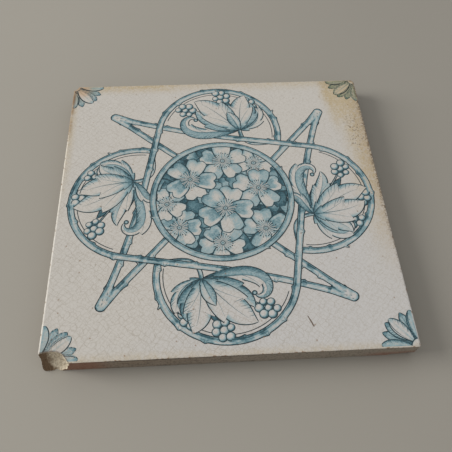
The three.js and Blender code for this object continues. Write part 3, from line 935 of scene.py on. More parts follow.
# The blades of the two kinds of spray, the first for the right and left lobes and the second for
# the back and front. Each has its direction at the base in degrees, its length, its half width,
# how far it bends and how far its tip curls in degrees, its layer, the teeth on its left and right,
# the palest tones there and its shade. A blade whose tip curls further than CURLED is drawn darker
# and rolls up.
CURLED = 90
BLADES = (
    (
        (-80, 29, 3.8, 110, 150, 2.6, (0, 3), (0.28, 0.04), 0.36),
        (116, 41, 4.2, -18, -250, 3.0, (3, 0), (0.0, 0.3), 0.36),
        (-28, 20, 5.0, 10, -50, 3.4, (2, 2), (0.06, 0.16), 0.28),
        (70, 26, 4.8, -8, 50, 3.6, (2, 3), (0.0, 0.18), 0.28),
        (36, 31, 7.8, -6, -30, 4.0, (2, 2), (0.0, 0.0), 0.2),
        (4, 26, 7.4, 10, 30, 4.5, (2, 2), (0.0, 0.0), 0.18),
        (128, 19, 3.0, -40, 230, 7.0, (0, 2), (0.34, 0.06), 0.4),
    ),
    (
        (-82, 27, 3.8, 116, 130, 2.6, (0, 3), (0.28, 0.04), 0.36),
        (92, 39, 4.4, 18, -270, 3.0, (0, 3), (0.34, 0.02), 0.4),
        (70, 27, 5.4, -10, -40, 3.4, (2, 2), (0.3, 0.14), 0.35),
        (-30, 21, 5.4, 14, 40, 3.6, (2, 2), (0.14, 0.3), 0.3),
        (-2, 25, 7.2, -6, -24, 4.0, (2, 2), (0.0, 0.0), 0.2),
        (42, 31, 8.2, 2, 26, 4.5, (2, 2), (0.0, 0.0), 0.18),
        (20, 14, 3.4, 6, 10, 5.2, (1, 1), (0.3, 0.1), 0.35),
    ),
)
# Each dark leaf between the blades: its direction, its length and its half width
GAPS = ((-40, 17, 3.2), (-12, 20, 3.6), (18, 23, 3.8), (52, 26, 3.8), (80, 18, 3))
# Each bunch of berries of the two kinds of spray: its direction and its distance
BUNCHES = (((-12, 19), (20, 25.5), (57, 31)), ((-17, 18.5), (20, 25.5), (62, 31.5)))
# Where each berry lies beside the end of its twig, in radii of a berry, with x along the twig
BERRIES = (-2.0 - 0.8j, -1.8 + 0.9j, -0.5 - 1.6j, -0.2 + 0.1j, -0.3 + 1.6j, 1.1 - 0.8j, 1.5 + 0.8j)


class TILE_OT_sprays(bpy.types.Operator):
    """Prints the spray of leaves and berries in each lobe"""

    bl_idname = "tile.sprays"
    bl_label = "Sprays"

    def execute(self, context):
        sizes = context.scene.tile_print
        paths = ScrollPaths(sizes)
        berry = sizes.berry_radius / MM
        base = paths.spray_base
        for i, side in enumerate(SIDES):
            turn = 1j**i
            patch = InkPatch()
            for angle, size, half in GAPS:
                midrib = growing(base, angle, size, steps=24) * turn
                lay_leaf(patch, midrib, half, 1.6, pale=(0.74, 0.74), shade=0.2, root=0.2)
            for angle, distance in BUNCHES[i % 2]:
                lay_bunch(patch, base, angle, distance, berry, turn)
            for start, size, half, bend, curl, layer, teeth, pale, shade in BLADES[i % 2]:
                midrib = growing(base, start, size, bend, curl) * turn
                curled = abs(curl) > CURLED
                lay_leaf(
                    patch,
                    midrib,
                    half,
                    layer,
                    teeth=teeth,
                    notch=0.5 if curled else 0.24,
                    lean=0.35,
                    pale=pale,
                    shade=shade,
                    hatch=30 if curled else 14,
                )
                if curled:
                    shares = (0.02, 0.5, 0.6, 1)
                    lay_disc(patch, midrib[-1], 1.2, shares, (0.2, 0.4, 0.95, 0.95), layer + 0.5)
            rim = arc(paths.lobe_centre, paths.lobe_line - paths.half - 1.2, -98, 70, 80) * turn
            lay_stroke(patch, rim, 0.16, 1.1, 1, taper=0)
            name = "spray_" + side
            add_ink(name, patch.mesh("ink_" + name), "pale_ink")
        return {"FINISHED"}


def lay_bunch(patch, base, angle, distance, berry, turn):
    """Draws a twig and its bunch of berries over a dark ground."""
    outward = np.exp(1j * math.radians(angle))
    end = base + distance * outward
    chance = random.Random(angle)
    lay_band(patch, np.array([base, end]) * turn, 0.55, 1.8, distance, thorns=False)
    middle = (end - 0.8 * berry * outward) * turn
    lay_disc(patch, middle, 1.9 * berry, (0.02, 0.7, 1), (0.8, 0.8, 0.9), 2)
    for i, offset in enumerate(BERRIES):
        lay_disc(
            patch,
            (end + offset * berry * outward) * turn,
            berry * chance.uniform(0.82, 1.14),
            (0.02, 0.35, 0.6, 0.78, 0.84, 1),
            (0.0, 0.06, 0.28, 0.5, 0.96, 0.96),
            2.2 + 0.05 * i,
            light=0.55,
        )


# How the leaves and petals of a corner flower are drawn, as lay_leaf takes it
CORNER_LEAF = {
    "pale": (0.3, 0.3),
    "shade": 0.34,
    "root": 0.5,
    "fullest": 0.62,
    "tip": 0.25,
    "hatch": 14,
    "roundness": 0.7,
}
CORNER_PETAL = {
    "shade": 0.45,
    "root": 0.4,
    "fullest": 0.58,
    "tip": 0.2,
    "vein": 0.0,
    "hatch": 20,
    "fold": 0.66,
    "roundness": 0.6,
}
SIDE_PETAL = {**CORNER_PETAL, "pale": (0.2, 0.2)}
# Each of them: its direction from the edge in degrees, its share of the petals' length, its half
# width, its layer and how it is drawn
CORNER_PETALS = (
    (21, 1.03, 2.2, 1.2, CORNER_LEAF),
    (66, 1.03, 2.2, 1.2, CORNER_LEAF),
    (5, 1.03, 2.7, 2.0, SIDE_PETAL),
    (85, 1.03, 2.7, 2.0, SIDE_PETAL),
    (50, 1.07, 2.8, 2.5, CORNER_LEAF),
    (41, 1.06, 3.0, 3.1, CORNER_PETAL),
)
# How heavy the outlines of the flowers are, in the order of the corners: the two stained ones at
# the back have darker lines
CORNER_WEIGHTS = (1.4, 1.4, 1, 1)
# The round heart of a corner flower: shares of its radius, and its tones there
HEART_SHARES = (0.02, 0.6, 0.87, 0.9, 1)
HEART_TONES = (0, 0, 0.1, 0.95, 0.95)


class TILE_OT_corner_flowers(bpy.types.Operator):
    """Prints the quarter flower in each corner"""

    bl_idname = "tile.corner_flowers"
    bl_label = "Corner flowers"

    def execute(self, context):
        corner = HALF_SIDE * (1 + 1j)
        reach = context.scene.tile_print.petal_length / MM
        for i, (place, weight) in enumerate(zip(CORNERS, CORNER_WEIGHTS)):
            turn = 1j**i
            patch = InkPatch()
            for angle, size, half, layer, tones in CORNER_PETALS:
                heading = -np.exp(1j * math.radians(angle))
                midrib = corner + heading * np.linspace(2.6, reach * size, 40)
                lay_leaf(patch, midrib * turn, half, layer, weight=weight, **tones)
            lay_disc(patch, corner * turn, 3.9, HEART_SHARES, HEART_TONES, 4.5, steps=32)
            name = "corner_flower_" + place
            mesh = patch.mesh("ink_" + name)
            trim_to_face(mesh, FLOWER_HIGH.x)
            if place != "front_right":
                mesh = cut(mesh, [], [corner_break()] if place == "front_left" else worn_corners())
            add_ink(name, mesh, "pale_ink")
        return {"FINISHED"}


def trim_to_face(mesh, limit):
    """Cuts away what lies beyond the face's printed square, and closes the cut."""
    shape = bmesh.new()
    shape.from_mesh(mesh)
    for direction in (Vector((1, 0, 0)), Vector((0, 1, 0)), Vector((-1, 0, 0)), Vector((0, -1, 0))):
        bmesh.ops.bisect_plane(
            shape,
            geom=shape.verts[:] + shape.edges[:] + shape.faces[:],
            plane_co=direction * limit * MM,
            plane_no=direction,
            clear_outer=True,
        )
        open_edges = [edge for edge in shape.edges if edge.is_boundary]
        bmesh.ops.holes_fill(shape, edges=open_edges)
    shape.to_mesh(mesh)
    shape.free()


# The clay body and the glaze

# How rough the body and the glaze are, how far the body's foot is bevelled at its lowest two
# heights, and heights up its sides where the roughness has points
BODY_ROUGHNESS = 0.22
GLAZE_ROUGHNESS = 0.06
FOOT_BEVEL = ((0, 0.5), (0.25, 0.15))
FOOT_HEIGHTS = (0.5, 1, 1.6)
SIDE_HEIGHTS = (3.2, 4.2, 5.2, 6.2, 7.2, 8.2, 8.9)

# How far the press seam spreads below its height and above it
SEAM_BELOW = 0.05
SEAM_ABOVE = 0.2

# The lip under the glaze's arris, the steps that round the arris, and the flat margin of the face
GLAZE_LIP = 0.04
ARRIS_STEPS = 6
FACE_MARGIN = 3

# How much narrower a hollow of the back is at its bottom, and how much shorter at each end
KEY_TAPER = 0.86
KEY_SLOPE = 0.6


def square_ring(half, radius, spacing=1.5):
    """Points round a square with rounded corners, anticlockwise."""
    straight = half - radius
    count = round(2 * straight / spacing)
    side = half + 1j * np.linspace(-straight, straight, count + 1)
    bend = straight * (1 + 1j) + radius * np.exp(1j * np.linspace(0, np.pi / 2, 6))[1:-1]
    quarter = np.concatenate([side, bend])
    return np.concatenate([quarter * 1j**i for i in range(4)])


def stack(levels, roughness):
    """A closed body from rounded squares, each given as its height, half side and corner radius."""
    shape = bmesh.new()
    rings = []
    for height, half, radius in levels:
        ring = square_ring(half, radius)
        inward = []
        for point in ring:
            place = Vector((point.real / 4, point.imag / 4, height))
            rough = noise.noise(place * 3) + 0.6 * noise.noise(place * 9)
            inward.append(1 - roughness * (0.5 + 0.5 * rough) / HALF_SIDE)
        ring = ring * np.clip(inward, 0, 1)
        places = zip(ring.real * MM, ring.imag * MM, [height * MM] * len(ring))
        rings.append([shape.verts.new(place) for place in places])
    for low, high in zip(rings, rings[1:]):
        for a, b, c, d in zip(low, low[1:] + low[:1], high[1:] + high[:1], high):
            shape.faces.new((a, b, c, d))
    shape.faces.new(rings[0][::-1])
    shape.faces.new(rings[-1])
    return shape


def egg(centre, radii, roughness, seed, fineness):
    """An egg-shaped cutter with a rippled skin like a break in fired clay."""
    shape = bmesh.new()
    bmesh.ops.create_icosphere(shape, subdivisions=fineness, radius=1)
    for vertex in shape.verts:
        place = Vector([vertex.co[k] * radii[k] for k in range(3)])
        shell = noise.noise(place * 0.35 + Vector((seed, 0, 0)))
        grain = noise.noise(place * 1.6) * 0.4 + noise.noise(place * 4) * 0.25
        swell = 1 + roughness * (shell + grain) / min(radii)
        vertex.co = (place * swell + Vector(centre)) * MM
    return shape


def key_cutter(x, reach, width, depth):
    """A long round-ended cutter for one hollow of the back, with sloping sides."""
    shape = bmesh.new()
    bottom = []
    top = []
    for end, start in ((1, 0), (-1, 180)):
        for angle in np.radians(np.linspace(start, start + 180, 13)):
            out = width / 2 * math.cos(angle)
            along = end * reach + width / 2 * math.sin(angle)
            inner = along - math.copysign(KEY_SLOPE, along)
            bottom.append(shape.verts.new(((x + out) * MM, along * MM, -depth * MM)))
            top.append(shape.verts.new(((x + out * KEY_TAPER) * MM, inner * MM, depth * MM)))
    for a, b, c, d in zip(bottom, bottom[1:] + bottom[:1], top[1:] + top[:1], top):
        shape.faces.new((a, b, c, d))
    shape.faces.new(bottom[::-1])
    shape.faces.new(top)
    return shape


def mesh_of(shape, name):
    """The mesh of a shape, which is freed."""
    mesh = bpy.data.meshes.new(name)
    shape.to_mesh(mesh)
    shape.free()
    return mesh


def one_object(name, shapes):
    """An object in the scene that holds all the shapes."""
    whole = bmesh.new()
    for shape in shapes:
        part = mesh_of(shape, "part")
        whole.from_mesh(part)
        bpy.data.meshes.remove(part)
    made = bpy.data.objects.new(name, mesh_of(whole, name))
    bpy.context.scene.collection.objects.link(made)
    return made


def cut(mesh, breaks, others=()):
    """Cuts shapes out of a mesh. The faces that the breaks leave get 1 in the attribute broken."""
    body = bpy.data.objects.new("cut_body", mesh)
    bpy.context.scene.collection.objects.link(body)
    clay = bpy.data.materials.new("whole")
    fresh = bpy.data.materials.new("broken")
    mesh.materials.append(clay)
    for shapes, marker in ((breaks, fresh), (others, clay)):
        if not shapes:
            continue
        cutter = one_object("cutter", shapes)
        cutter.data.materials.append(marker)
        modifier = body.modifiers.new("cut", "BOOLEAN")
        modifier.operation = "DIFFERENCE"
        modifier.solver = "EXACT"
        modifier.use_self = True
        modifier.material_mode = "TRANSFER"
        modifier.object = cutter
        bpy.context.view_layer.update()
        evaluated = body.evaluated_get(bpy.context.evaluated_depsgraph_get())
        result = bpy.data.meshes.new_from_object(evaluated)
        body.modifiers.clear()
        body.data = result
        bpy.data.objects.remove(cutter)
    result = body.data
    names = [slot.name if slot else "" for slot in result.materials]
    flags = [1.0 if names[face.material_index] == fresh.name else 0.0 for face in result.polygons]
    attribute = result.attributes.new("broken", "FLOAT", "FACE")
    attribute.data.foreach_set("value", flags)
    for face in result.polygons:
        face.material_index = 0
    bpy.data.objects.remove(body)
    bpy.data.materials.remove(clay)
    bpy.data.materials.remove(fresh)
    return result


def corner_break():
    """The cutter for the front left corner, which is broken away."""
    centre = (4.5 - HALF_SIDE, -HALF_SIDE - 1.6, GLAZE_HIGH.z - 1.5)
    return egg(centre, (7.6, 6.7, 9), roughness=0.5, seed=3, fineness=5)


def foot_break():
    """The cutter for the chipped foot of the front right corner."""
    return egg((HALF_SIDE, -HALF_SIDE - 2, -0.6), (15, 4, 4.4), roughness=0.3, seed=8, fineness=5)


def worn_corners():
    """Cutters for the small wear on the two back corners and the nick in the right edge."""
    side, top = HALF_SIDE, GLAZE_HIGH.z
    back_left = (-side - 0.8, side + 0.8, top + 0.5)
    back_right = (side + 1, side + 1, top + 0.6)
    nick = (side + 0.3, 59.4, top)
    return [
        egg(back_left, (3.6, 3.6, 3.2), roughness=0.3, seed=12, fineness=4),
        egg(back_right, (2.8, 2.8, 3), roughness=0.3, seed=14, fineness=4),
        egg(nick, (1.3, 1.4, 1.1), roughness=0.2, seed=16, fineness=4),
    ]


def all_breaks():
    """Cutters for everything that is broken off the tile."""
    return [corner_break(), foot_break(), *worn_corners()]


class TILE_OT_clay_body(bpy.types.Operator):
    """Makes the clay body with its worn sides, its keyed back and its broken corners"""

    bl_idname = "tile.clay_body"
    bl_label = "Clay body"

    def execute(self, context):
        sizes = context.scene.tile_body
        half = sizes.half_side / MM
        lower = half - sizes.seam_step / MM
        seam = sizes.seam_height / MM
        top = sizes.glaze_bottom / MM
        corner = sizes.edge_radius / MM
        levels = [(height, lower - bevel, corner) for height, bevel in FOOT_BEVEL]
        levels += [(height, lower, corner) for height in (*FOOT_HEIGHTS, seam - SEAM_BELOW)]
        levels += [(height, half, corner) for height in (seam + SEAM_ABOVE, *SIDE_HEIGHTS, top)]
        body = mesh_of(stack(levels, BODY_ROUGHNESS), "tile_clay_body")
        body = cut(body, all_breaks(), self.key_cutters(sizes))
        new_object("tile_clay_body", body, fired_clay(), "clay", "clay_body")
        return {"FINISHED"}

    def key_cutters(self, sizes):
        """The cutters for the hollows of the back, in pairs from the middle outwards."""
        width = sizes.key_width / MM
        reach = (sizes.half_side - sizes.key_margin) / MM - width / 2
        pitch = sizes.key_pitch / MM
        places = [(i + 0.5) * pitch for i in range(math.floor(reach / pitch + 0.5))]
        return [
            key_cutter(side * place, reach, width, sizes.key_depth / MM)
            for place in places
            for side in (1, -1)
        ]


class TILE_OT_glaze(bpy.types.Operator):
    """Makes the cream glaze over the face"""

    bl_idname = "tile.glaze"
    bl_label = "Glaze"

    def execute(self, context):
        sizes = context.scene.tile_body
        half = sizes.half_side / MM
        low = sizes.glaze_bottom / MM
        fall = FACE_HEIGHT - low
        arris = sizes.arris_radius / MM
        corner = sizes.edge_radius / MM
        levels = [(low, half, corner)]
        for i in range(ARRIS_STEPS + 1):
            angle = math.pi / 2 * i / ARRIS_STEPS
            height = low + GLAZE_LIP + (fall - GLAZE_LIP) * math.sin(angle)
            levels.append((height, half - arris * (1 - math.cos(angle)), corner))
        levels.append((FACE_HEIGHT, half - FACE_MARGIN, corner))
        glaze = mesh_of(stack(levels, GLAZE_ROUGHNESS), "tile_glaze")
        glaze = cut(glaze, all_breaks())
        new_object("tile_glaze", glaze, printed_glaze(), "glaze", "glaze_coat")
        return {"FINISHED"}


# Materials


class Amount:
    """A number that changes over a surface. Sums on it add Math nodes to its material."""

    def __init__(self, paint, socket):
        self.paint = paint
        self.socket = socket

    def maths(self, operation, *values):
        return self.paint.maths(operation, *values)

    def __add__(self, other):
        return self.maths("ADD", self, other)

    def __sub__(self, other):
        return self.maths("SUBTRACT", self, other)

    def __rsub__(self, other):
        return self.maths("SUBTRACT", other, self)

    def __mul__(self, other):
        return self.maths("MULTIPLY", self, other)

    def __truediv__(self, other):
        return self.maths("DIVIDE", self, other)

    def __abs__(self):
        return self.maths("ABSOLUTE", self)

    def __pow__(self, other):
        return self.maths("POWER", self, other)

    __radd__ = __add__
    __rmul__ = __mul__

    def at_least(self, other):
        """The greater of the two."""
        return self.maths("MAXIMUM", self, other)

    def at_most(self, other):
        """The smaller of the two."""
        return self.maths("MINIMUM", self, other)

    def clamped(self):
        """The number, no less than 0 and no more than 1."""
        return self.at_least(0).at_most(1)

    def step(self, low, high):
        """0 below low, 1 above high, and a soft step between them."""
        settings = {"interpolation_type": "SMOOTHSTEP"}
        values = {"Value": self, "From Min": low, "From Max": high}
        return Amount(self.paint, self.paint.node("ShaderNodeMapRange", settings, values)[0])


class Paint:
    """A material and its nodes. Places on the surface are in millimetres."""

    def __init__(self, name):
        self.material = bpy.data.materials.new(name)
        self.material.use_nodes = True
        self.tree = self.material.node_tree
        self.surface = self.tree.nodes["Principled BSDF"]
        metres = self.node("ShaderNodeTexCoord")["Object"]
        self.place = self.vector("SCALE", {0: metres, "Scale": 1 / MM})
        split = self.node("ShaderNodeSeparateXYZ", {}, {0: self.place})
        self.x, self.y, self.z = (Amount(self, split[axis]) for axis in "XYZ")

    def node(self, kind, settings=None, values=None):
        """Adds a node with its settings and the values or links of its sockets."""
        made = self.tree.nodes.new(kind)
        for key, value in (settings or {}).items():
            if key == "stops":
                set_stops(made.color_ramp, value)
            else:
                setattr(made, key, value)
        for key, value in (values or {}).items():
            self.feed(made.inputs[key], value)
        return made.outputs

    def feed(self, socket, value):
        """Links a socket to an amount or an output, or gives it a value."""
        if isinstance(value, Amount):
            value = value.socket
        if isinstance(value, bpy.types.NodeSocket):
            self.tree.links.new(value, socket)
        else:
            socket.default_value = value

    def maths(self, operation, *values):
        """The result of a sum on numbers."""
        made = self.node("ShaderNodeMath", {"operation": operation}, dict(enumerate(values)))
        return Amount(self, made[0])

    def vector(self, operation, values):
        """The result of a sum on vectors, each given with its socket."""
        return self.node("ShaderNodeVectorMath", {"operation": operation}, values)[0]

    def mix(self, share, first, second, blend="MIX"):
        """The first colour where the share is 0 and the second, or their blend, where it is 1."""
        settings = {"data_type": "RGBA", "blend_type": blend, "clamp_factor": True}
        return self.node("ShaderNodeMix", settings, {0: share, 6: first, 7: second})[2]

    def over(self, base, share, shade, blend="MIX"):
        """The base with a plain colour laid over it, or blended with it, by a share."""
        return self.mix(share, base, rgba(shade), blend)

    def ramp(self, share, stops):
        """A colour from stops, each a share and its colour."""
        return self.node("ShaderNodeValToRGB", {"stops": stops}, {0: share})[0]

    def stretched(self, x, y, z):
        """The place with its coordinates multiplied, so that noise on it is drawn out."""
        return self.vector("MULTIPLY", {0: self.place, 1: (x, y, z)})

    def cloud(self, size, detail=3.0, place=None, seed=0.0):
        """Soft noise between 0 and 1, with blotches of about the given size."""
        settings = {"noise_dimensions": "4D"}
        values = {"Vector": place or self.place, "W": seed, "Scale": 1 / size, "Detail": detail}
        return Amount(self, self.node("ShaderNodeTexNoise", settings, values)["Fac"])

    def cells(self, size, feature, place=None, randomness=1.0):
        """The outputs of a pattern of cells of about the given size, seen from above."""
        settings = {"voronoi_dimensions": "2D", "feature": feature}
        values = {"Vector": place or self.place, "Scale": 1 / size, "Randomness": randomness}
        return self.node("ShaderNodeTexVoronoi", settings, values)

    def attribute(self, name):
        """A number that the mesh holds under a name."""
        return Amount(self, self.node("ShaderNodeAttribute", {"attribute_name": name})["Fac"])

    def bump(self, height, distance, strength=1.0):
        """Relief, for the Normal socket."""
        values = {"Height": height, "Distance": distance * MM, "Strength": strength}
        return self.node("ShaderNodeBump", {}, values)[0]

    def distance_to(self, x, y, reach_x=1.0, reach_y=1.0):
        """How far a place is from a point of the face, in millimetres or in an oval's reaches."""
        return (((self.x - x) / reach_x) ** 2 + ((self.y - y) / reach_y) ** 2) ** 0.5

    def finish(self, values):
        """The material, with the surface's sockets fed."""
        for key, value in values.items():
            self.feed(self.surface.inputs[key], value)
        return self.material


def set_stops(ramp, stops):
    """Gives a colour ramp its stops, each a share and its colour."""
    while len(ramp.elements) < len(stops):
        ramp.elements.new(1)
    for element, (place, shade) in zip(ramp.elements, stops):
        element.position = place
        element.color = rgba(shade)


def rgba(shade):
    """A colour with the alpha that a socket asks for."""
    return (*shade, 1)


def darker(shade, share):
    """A colour with only a share of its light."""
    return tuple(value * share for value in shade)


# Marks on the glaze, each a place on the face, and for an oval one its reach in x and y. The
# scratch has its two ends and its width.
OLD_STAIN = (70, 38, 6, 16)
ORANGE_STAIN = (-70.8, 72.8, 1, 1.2)
WORN_BACK_LEFT = (-77, 77)
WORN_FRONT_LEFT = (-72, -75)
STAINED_BACK_LEFT = (-76, 76)
DARK_SPOT = (-75.2, -71.4)
CHIP_RIM = (-71.5, -77.6, 7.5, 6.6)
SCRATCH = (32.3 - 60.9j, 34.2 - 65.3j)
SCRATCH_WIDTH = 0.36

# The width of the crazing's small and large meshes, and how far its lines are turned, in degrees
FINE_NET = 2.1
COARSE_NET = 4.6
NET_ANGLE = 40

# Marks on the sides, each a place seen from above
RED_MIDDLE = (-60, -76)
RED_RIGHT = (70, -76)

# The height of the press seam's line
SEAM_LINE = 2.25

# The place that the ripples of the front left break spread from, and where its dirt ends in x
IMPACT = (-79, -69)
DIRT_END = -72.2


class GlazePaint(Paint):
    """The glaze over the print, with the noise and the places that several of its marks share."""

    def __init__(self, name):
        super().__init__(name)
        self.colours = bpy.context.scene.tile_colours
        self.left_x = 0 - self.x
        self.blotch = self.cloud(12, 4, seed=2)
        self.fine = self.cloud(0.7, 3, seed=50)
        self.rim = (HALF_SIDE - abs(self.x)).at_most(HALF_SIDE - abs(self.y))
        slanted = self.x + self.y * 0.12 + self.blotch * 6
        self.back_right = slanted.step(65, 71) * self.y.step(30, 64)

    def unprinted(self):
        """The cream glaze, with the buff stains and the dirt along its edges."""
        colours = self.colours
        cool = (self.x / 90 - self.y / 90 + self.cloud(38, 2) * 1.2 - 0.6).clamped()
        base = self.mix(cool, rgba(colours.glaze), rgba(colours.glaze_cool))

        mottle = self.cloud(1.6, 4, seed=4)
        right = (self.x + self.blotch * 8).step(63, 79) * self.y.step(-60, 25) * 0.9
        back = (self.y + mottle * 2).step(69, 77.5) * (0.5 + 0.5 * self.left_x.step(10, 35))
        left = self.left_x.step(71, 76.5) * self.y.step(-20, 50) * 0.8
        front = (mottle * 3 - self.y).step(73, 77.8) * 0.4
        stain = self.back_right.at_least(right).at_least(back).at_least(left).at_least(front)
        noisy = self.blotch * 0.6 + mottle * 1.4 + self.fine * 2.2 - 1.15
        base = self.over(base, (stain * noisy).clamped() * 0.95, colours.stain)

        dirty = (self.back_right * 0.6 + right).clamped() * (1 - self.rim.step(0.5, 9))
        dirt = (dirty * (0.3 + self.fine)).clamped()
        base = self.over(base, dirt * 0.28, colours.rust)
        return self.over(base, self.fine.step(0.46, 0.7) * 0.3, colours.crazing)

    def inked(self):
        """The amount of ink: the mesh's tone, which is grainy where it is neither bare nor line."""
        tone = self.attribute("tone")
        shaded = tone.step(0.02, 0.3) * (1 - tone.step(0.82, 0.94))
        grain = self.cloud(0.75, 4, seed=5) - 0.5
        return (tone + grain * 0.6 * shaded).clamped()

    def ink(self, inked):
        """The colour of the ink, from the thinnest wash to a drawn line."""
        colours = self.colours
        stops = (
            (0.0, colours.wash),
            (0.3, colours.wash),
            (0.55, colours.mid_ink),
            (0.78, colours.dark_ink),
            (1.0, colours.line_ink),
        )
        return self.ramp(inked, stops)

    def cracks(self):
        """The crazing: a small net and a large one, both clearer towards the front left."""
        values = {"Vector": self.place, "Scale": 0.12, "Detail": 3}
        sway = self.node("ShaderNodeTexNoise", {}, values)["Color"]
        sway = self.vector("SCALE", {0: sway, "Scale": 6.0})
        bent = self.vector("ADD", {0: self.place, 1: sway})
        turned = {"Vector": bent, "Angle": math.radians(NET_ANGLE)}
        bent = self.node("ShaderNodeVectorRotate", {"rotation_type": "Z_AXIS"}, turned)[0]
        coarse, fine = (
            Amount(self, self.cells(size, "DISTANCE_TO_EDGE", bent, randomness)[0]) * size
            for size, randomness in ((COARSE_NET, 0.6), (FINE_NET, 0.3))
        )
        patchy = self.cloud(22, 2, seed=9).step(0.3, 0.62)
        faint = 0.45 + 0.55 * self.cloud(3, 2, seed=10).step(0.38, 0.58)
        left_front = (0.45 - self.x / 160 - self.y / 200).clamped()
        small = (1 - fine.step(0.02, 0.11)) * (0.45 + 0.55 * left_front)
        small = small * (0.5 + 0.5 * patchy) * faint * 0.85
        return small.at_least((1 - coarse.step(0.02, 0.12)) * (0.15 + 0.35 * left_front))

    def specked(self, base):
        """Rust specks all over, dark flecks and grit towards the right edge, and the scratch."""
        spots = self.cells(7, "F1")
        speck = 1 - (Amount(self, spots["Distance"]) * 7).step(0.14, 0.5)
        parts = self.node("ShaderNodeSeparateColor", {}, {0: spots["Color"]})
        chosen = Amount(self, parts[0]).step(0.84, 0.9)
        base = self.over(base, speck * chosen * 0.7, self.colours.rust)

        old = 1 - self.distance_to(*OLD_STAIN).step(0.4, 1.1)
        old = old.at_least(self.x.step(73, 75.5) * self.y.step(-60, -20))
        flecks = self.cloud(0.9, 2, seed=13).step(0.58, 0.64) * old
        gritty = (1 - self.rim.step(0.4, 1.8)) * self.x.step(66, 72) * self.y.step(-45, 5)
        gritty = gritty * self.fine.step(0.42, 0.56)
        dark = (flecks * 0.8).at_least(self.scratch() * 0.9).at_least(gritty * 0.7)
        return self.over(base, dark, darker(self.colours.rust, 0.4))

    def scratch(self):
        """1 on the short scratch and 0 off it."""
        start, end = SCRATCH
        size = abs(end - start)
        ahead = (end - start) / size
        dx = self.x - start.real
        dy = self.y - start.imag
        along = (dx * ahead.real + dy * ahead.imag).at_least(0).at_most(size)
        off_x = dx - along * ahead.real
        off_y = dy - along * ahead.imag
        wobble = self.cloud(1.5, 2, seed=40) * 0.4
        far = (off_x**2 + off_y**2) ** 0.5 + wobble - 0.2
        return 1 - far.step(SCRATCH_WIDTH * 0.5, SCRATCH_WIDTH)

    def worn(self):
        """How much the glaze is worn through, at its rim and in its left corners."""
        nick = 1 - (self.rim - (self.cloud(1.6, 4, seed=21) - 0.6) * 5).step(0.0, 0.4)
        back_left = 1 - self.distance_to(*WORN_BACK_LEFT).step(2, 6)
        front_left = 1 - self.distance_to(*WORN_FRONT_LEFT).step(6, 11)
        line = self.left_x.step(73.6, 75.4) * self.y.step(36, 54) * self.blotch.step(0.3, 0.6)
        worn = back_left.at_least(front_left * 0.1).at_least(nick * 0.8).at_least(line * 0.85)
        return worn.clamped()

    def aged_and_highlit(self, base, inked, worn):
        """The painted highlight on the left rim, the worn places, and the stains over the two back
        flowers.
        """
        colours = self.colours
        # Painted highlight: a thin pale line along the left rim, where the rounded glaze would
        # catch the light
        rim_highlight = self.left_x.step(75.1, 75.5) * (1 - self.y.step(30, 50))
        base = self.over(base, rim_highlight * (0.2 + 0.5 * self.blotch), colours.highlit)
        base = self.over(base, worn, colours.rust)
        glow = 1 - self.distance_to(*ORANGE_STAIN).step(1.5, 5.5)
        base = self.over(base, glow * 0.6 * (1 - inked.step(0.5, 0.8)), colours.orange)
        back_left = (1 - self.distance_to(*STAINED_BACK_LEFT).step(9, 16)) * 0.4
        stained = (self.back_right * self.y.step(56, 64)).at_least(back_left)
        tinted = stained * inked.step(0.05, 0.3) * 0.8
        return self.over(base, tinted, colours.stain_tint, "MULTIPLY")

    def chipped(self, base):
        """The dirty rim of the front left chip, the dark spot beside it, and the broken faces."""
        rim = (1 - self.distance_to(*CHIP_RIM).step(1.0, 1.13)) * (0.4 + self.fine)
        spot = 1 - (self.distance_to(*DARK_SPOT) + self.fine).step(0.6, 1.2)
        dark = (rim * 0.8).at_least(spot * 0.9).clamped()
        base = self.over(base, dark, darker(self.colours.rust, 0.4))
        return self.over(base, self.attribute("broken") * 0.6, self.colours.broken)


def printed_glaze():
    """The cream glaze over ink, whose tone is the attribute of that name."""
    name = "Glaze over print"
    if name in bpy.data.materials:
        return bpy.data.materials[name]
    paint = GlazePaint(name)
    inked = paint.inked()
    cracks = paint.cracks()
    worn = paint.worn()
    base = paint.mix(inked.step(0.0, 0.32), paint.unprinted(), paint.ink(inked))
    base = paint.over(base, cracks * (1 - 0.8 * inked.step(0.1, 0.6)), paint.colours.crazing)
    base = paint.chipped(paint.aged_and_highlit(paint.specked(base), inked, worn))
    height = paint.cloud(14, 1, seed=30) + paint.cloud(2.2, 2, seed=31) * 0.1 - cracks * 0.12
    rough = (0.3 + 0.16 * paint.cloud(6, 3, seed=33) + cracks * 0.15 + worn * 0.3).clamped()
    relief = paint.bump(height, 0.25, 0.6)
    return paint.finish({"Base Color": base, "Roughness": rough, "Normal": relief, "IOR": 1.5})


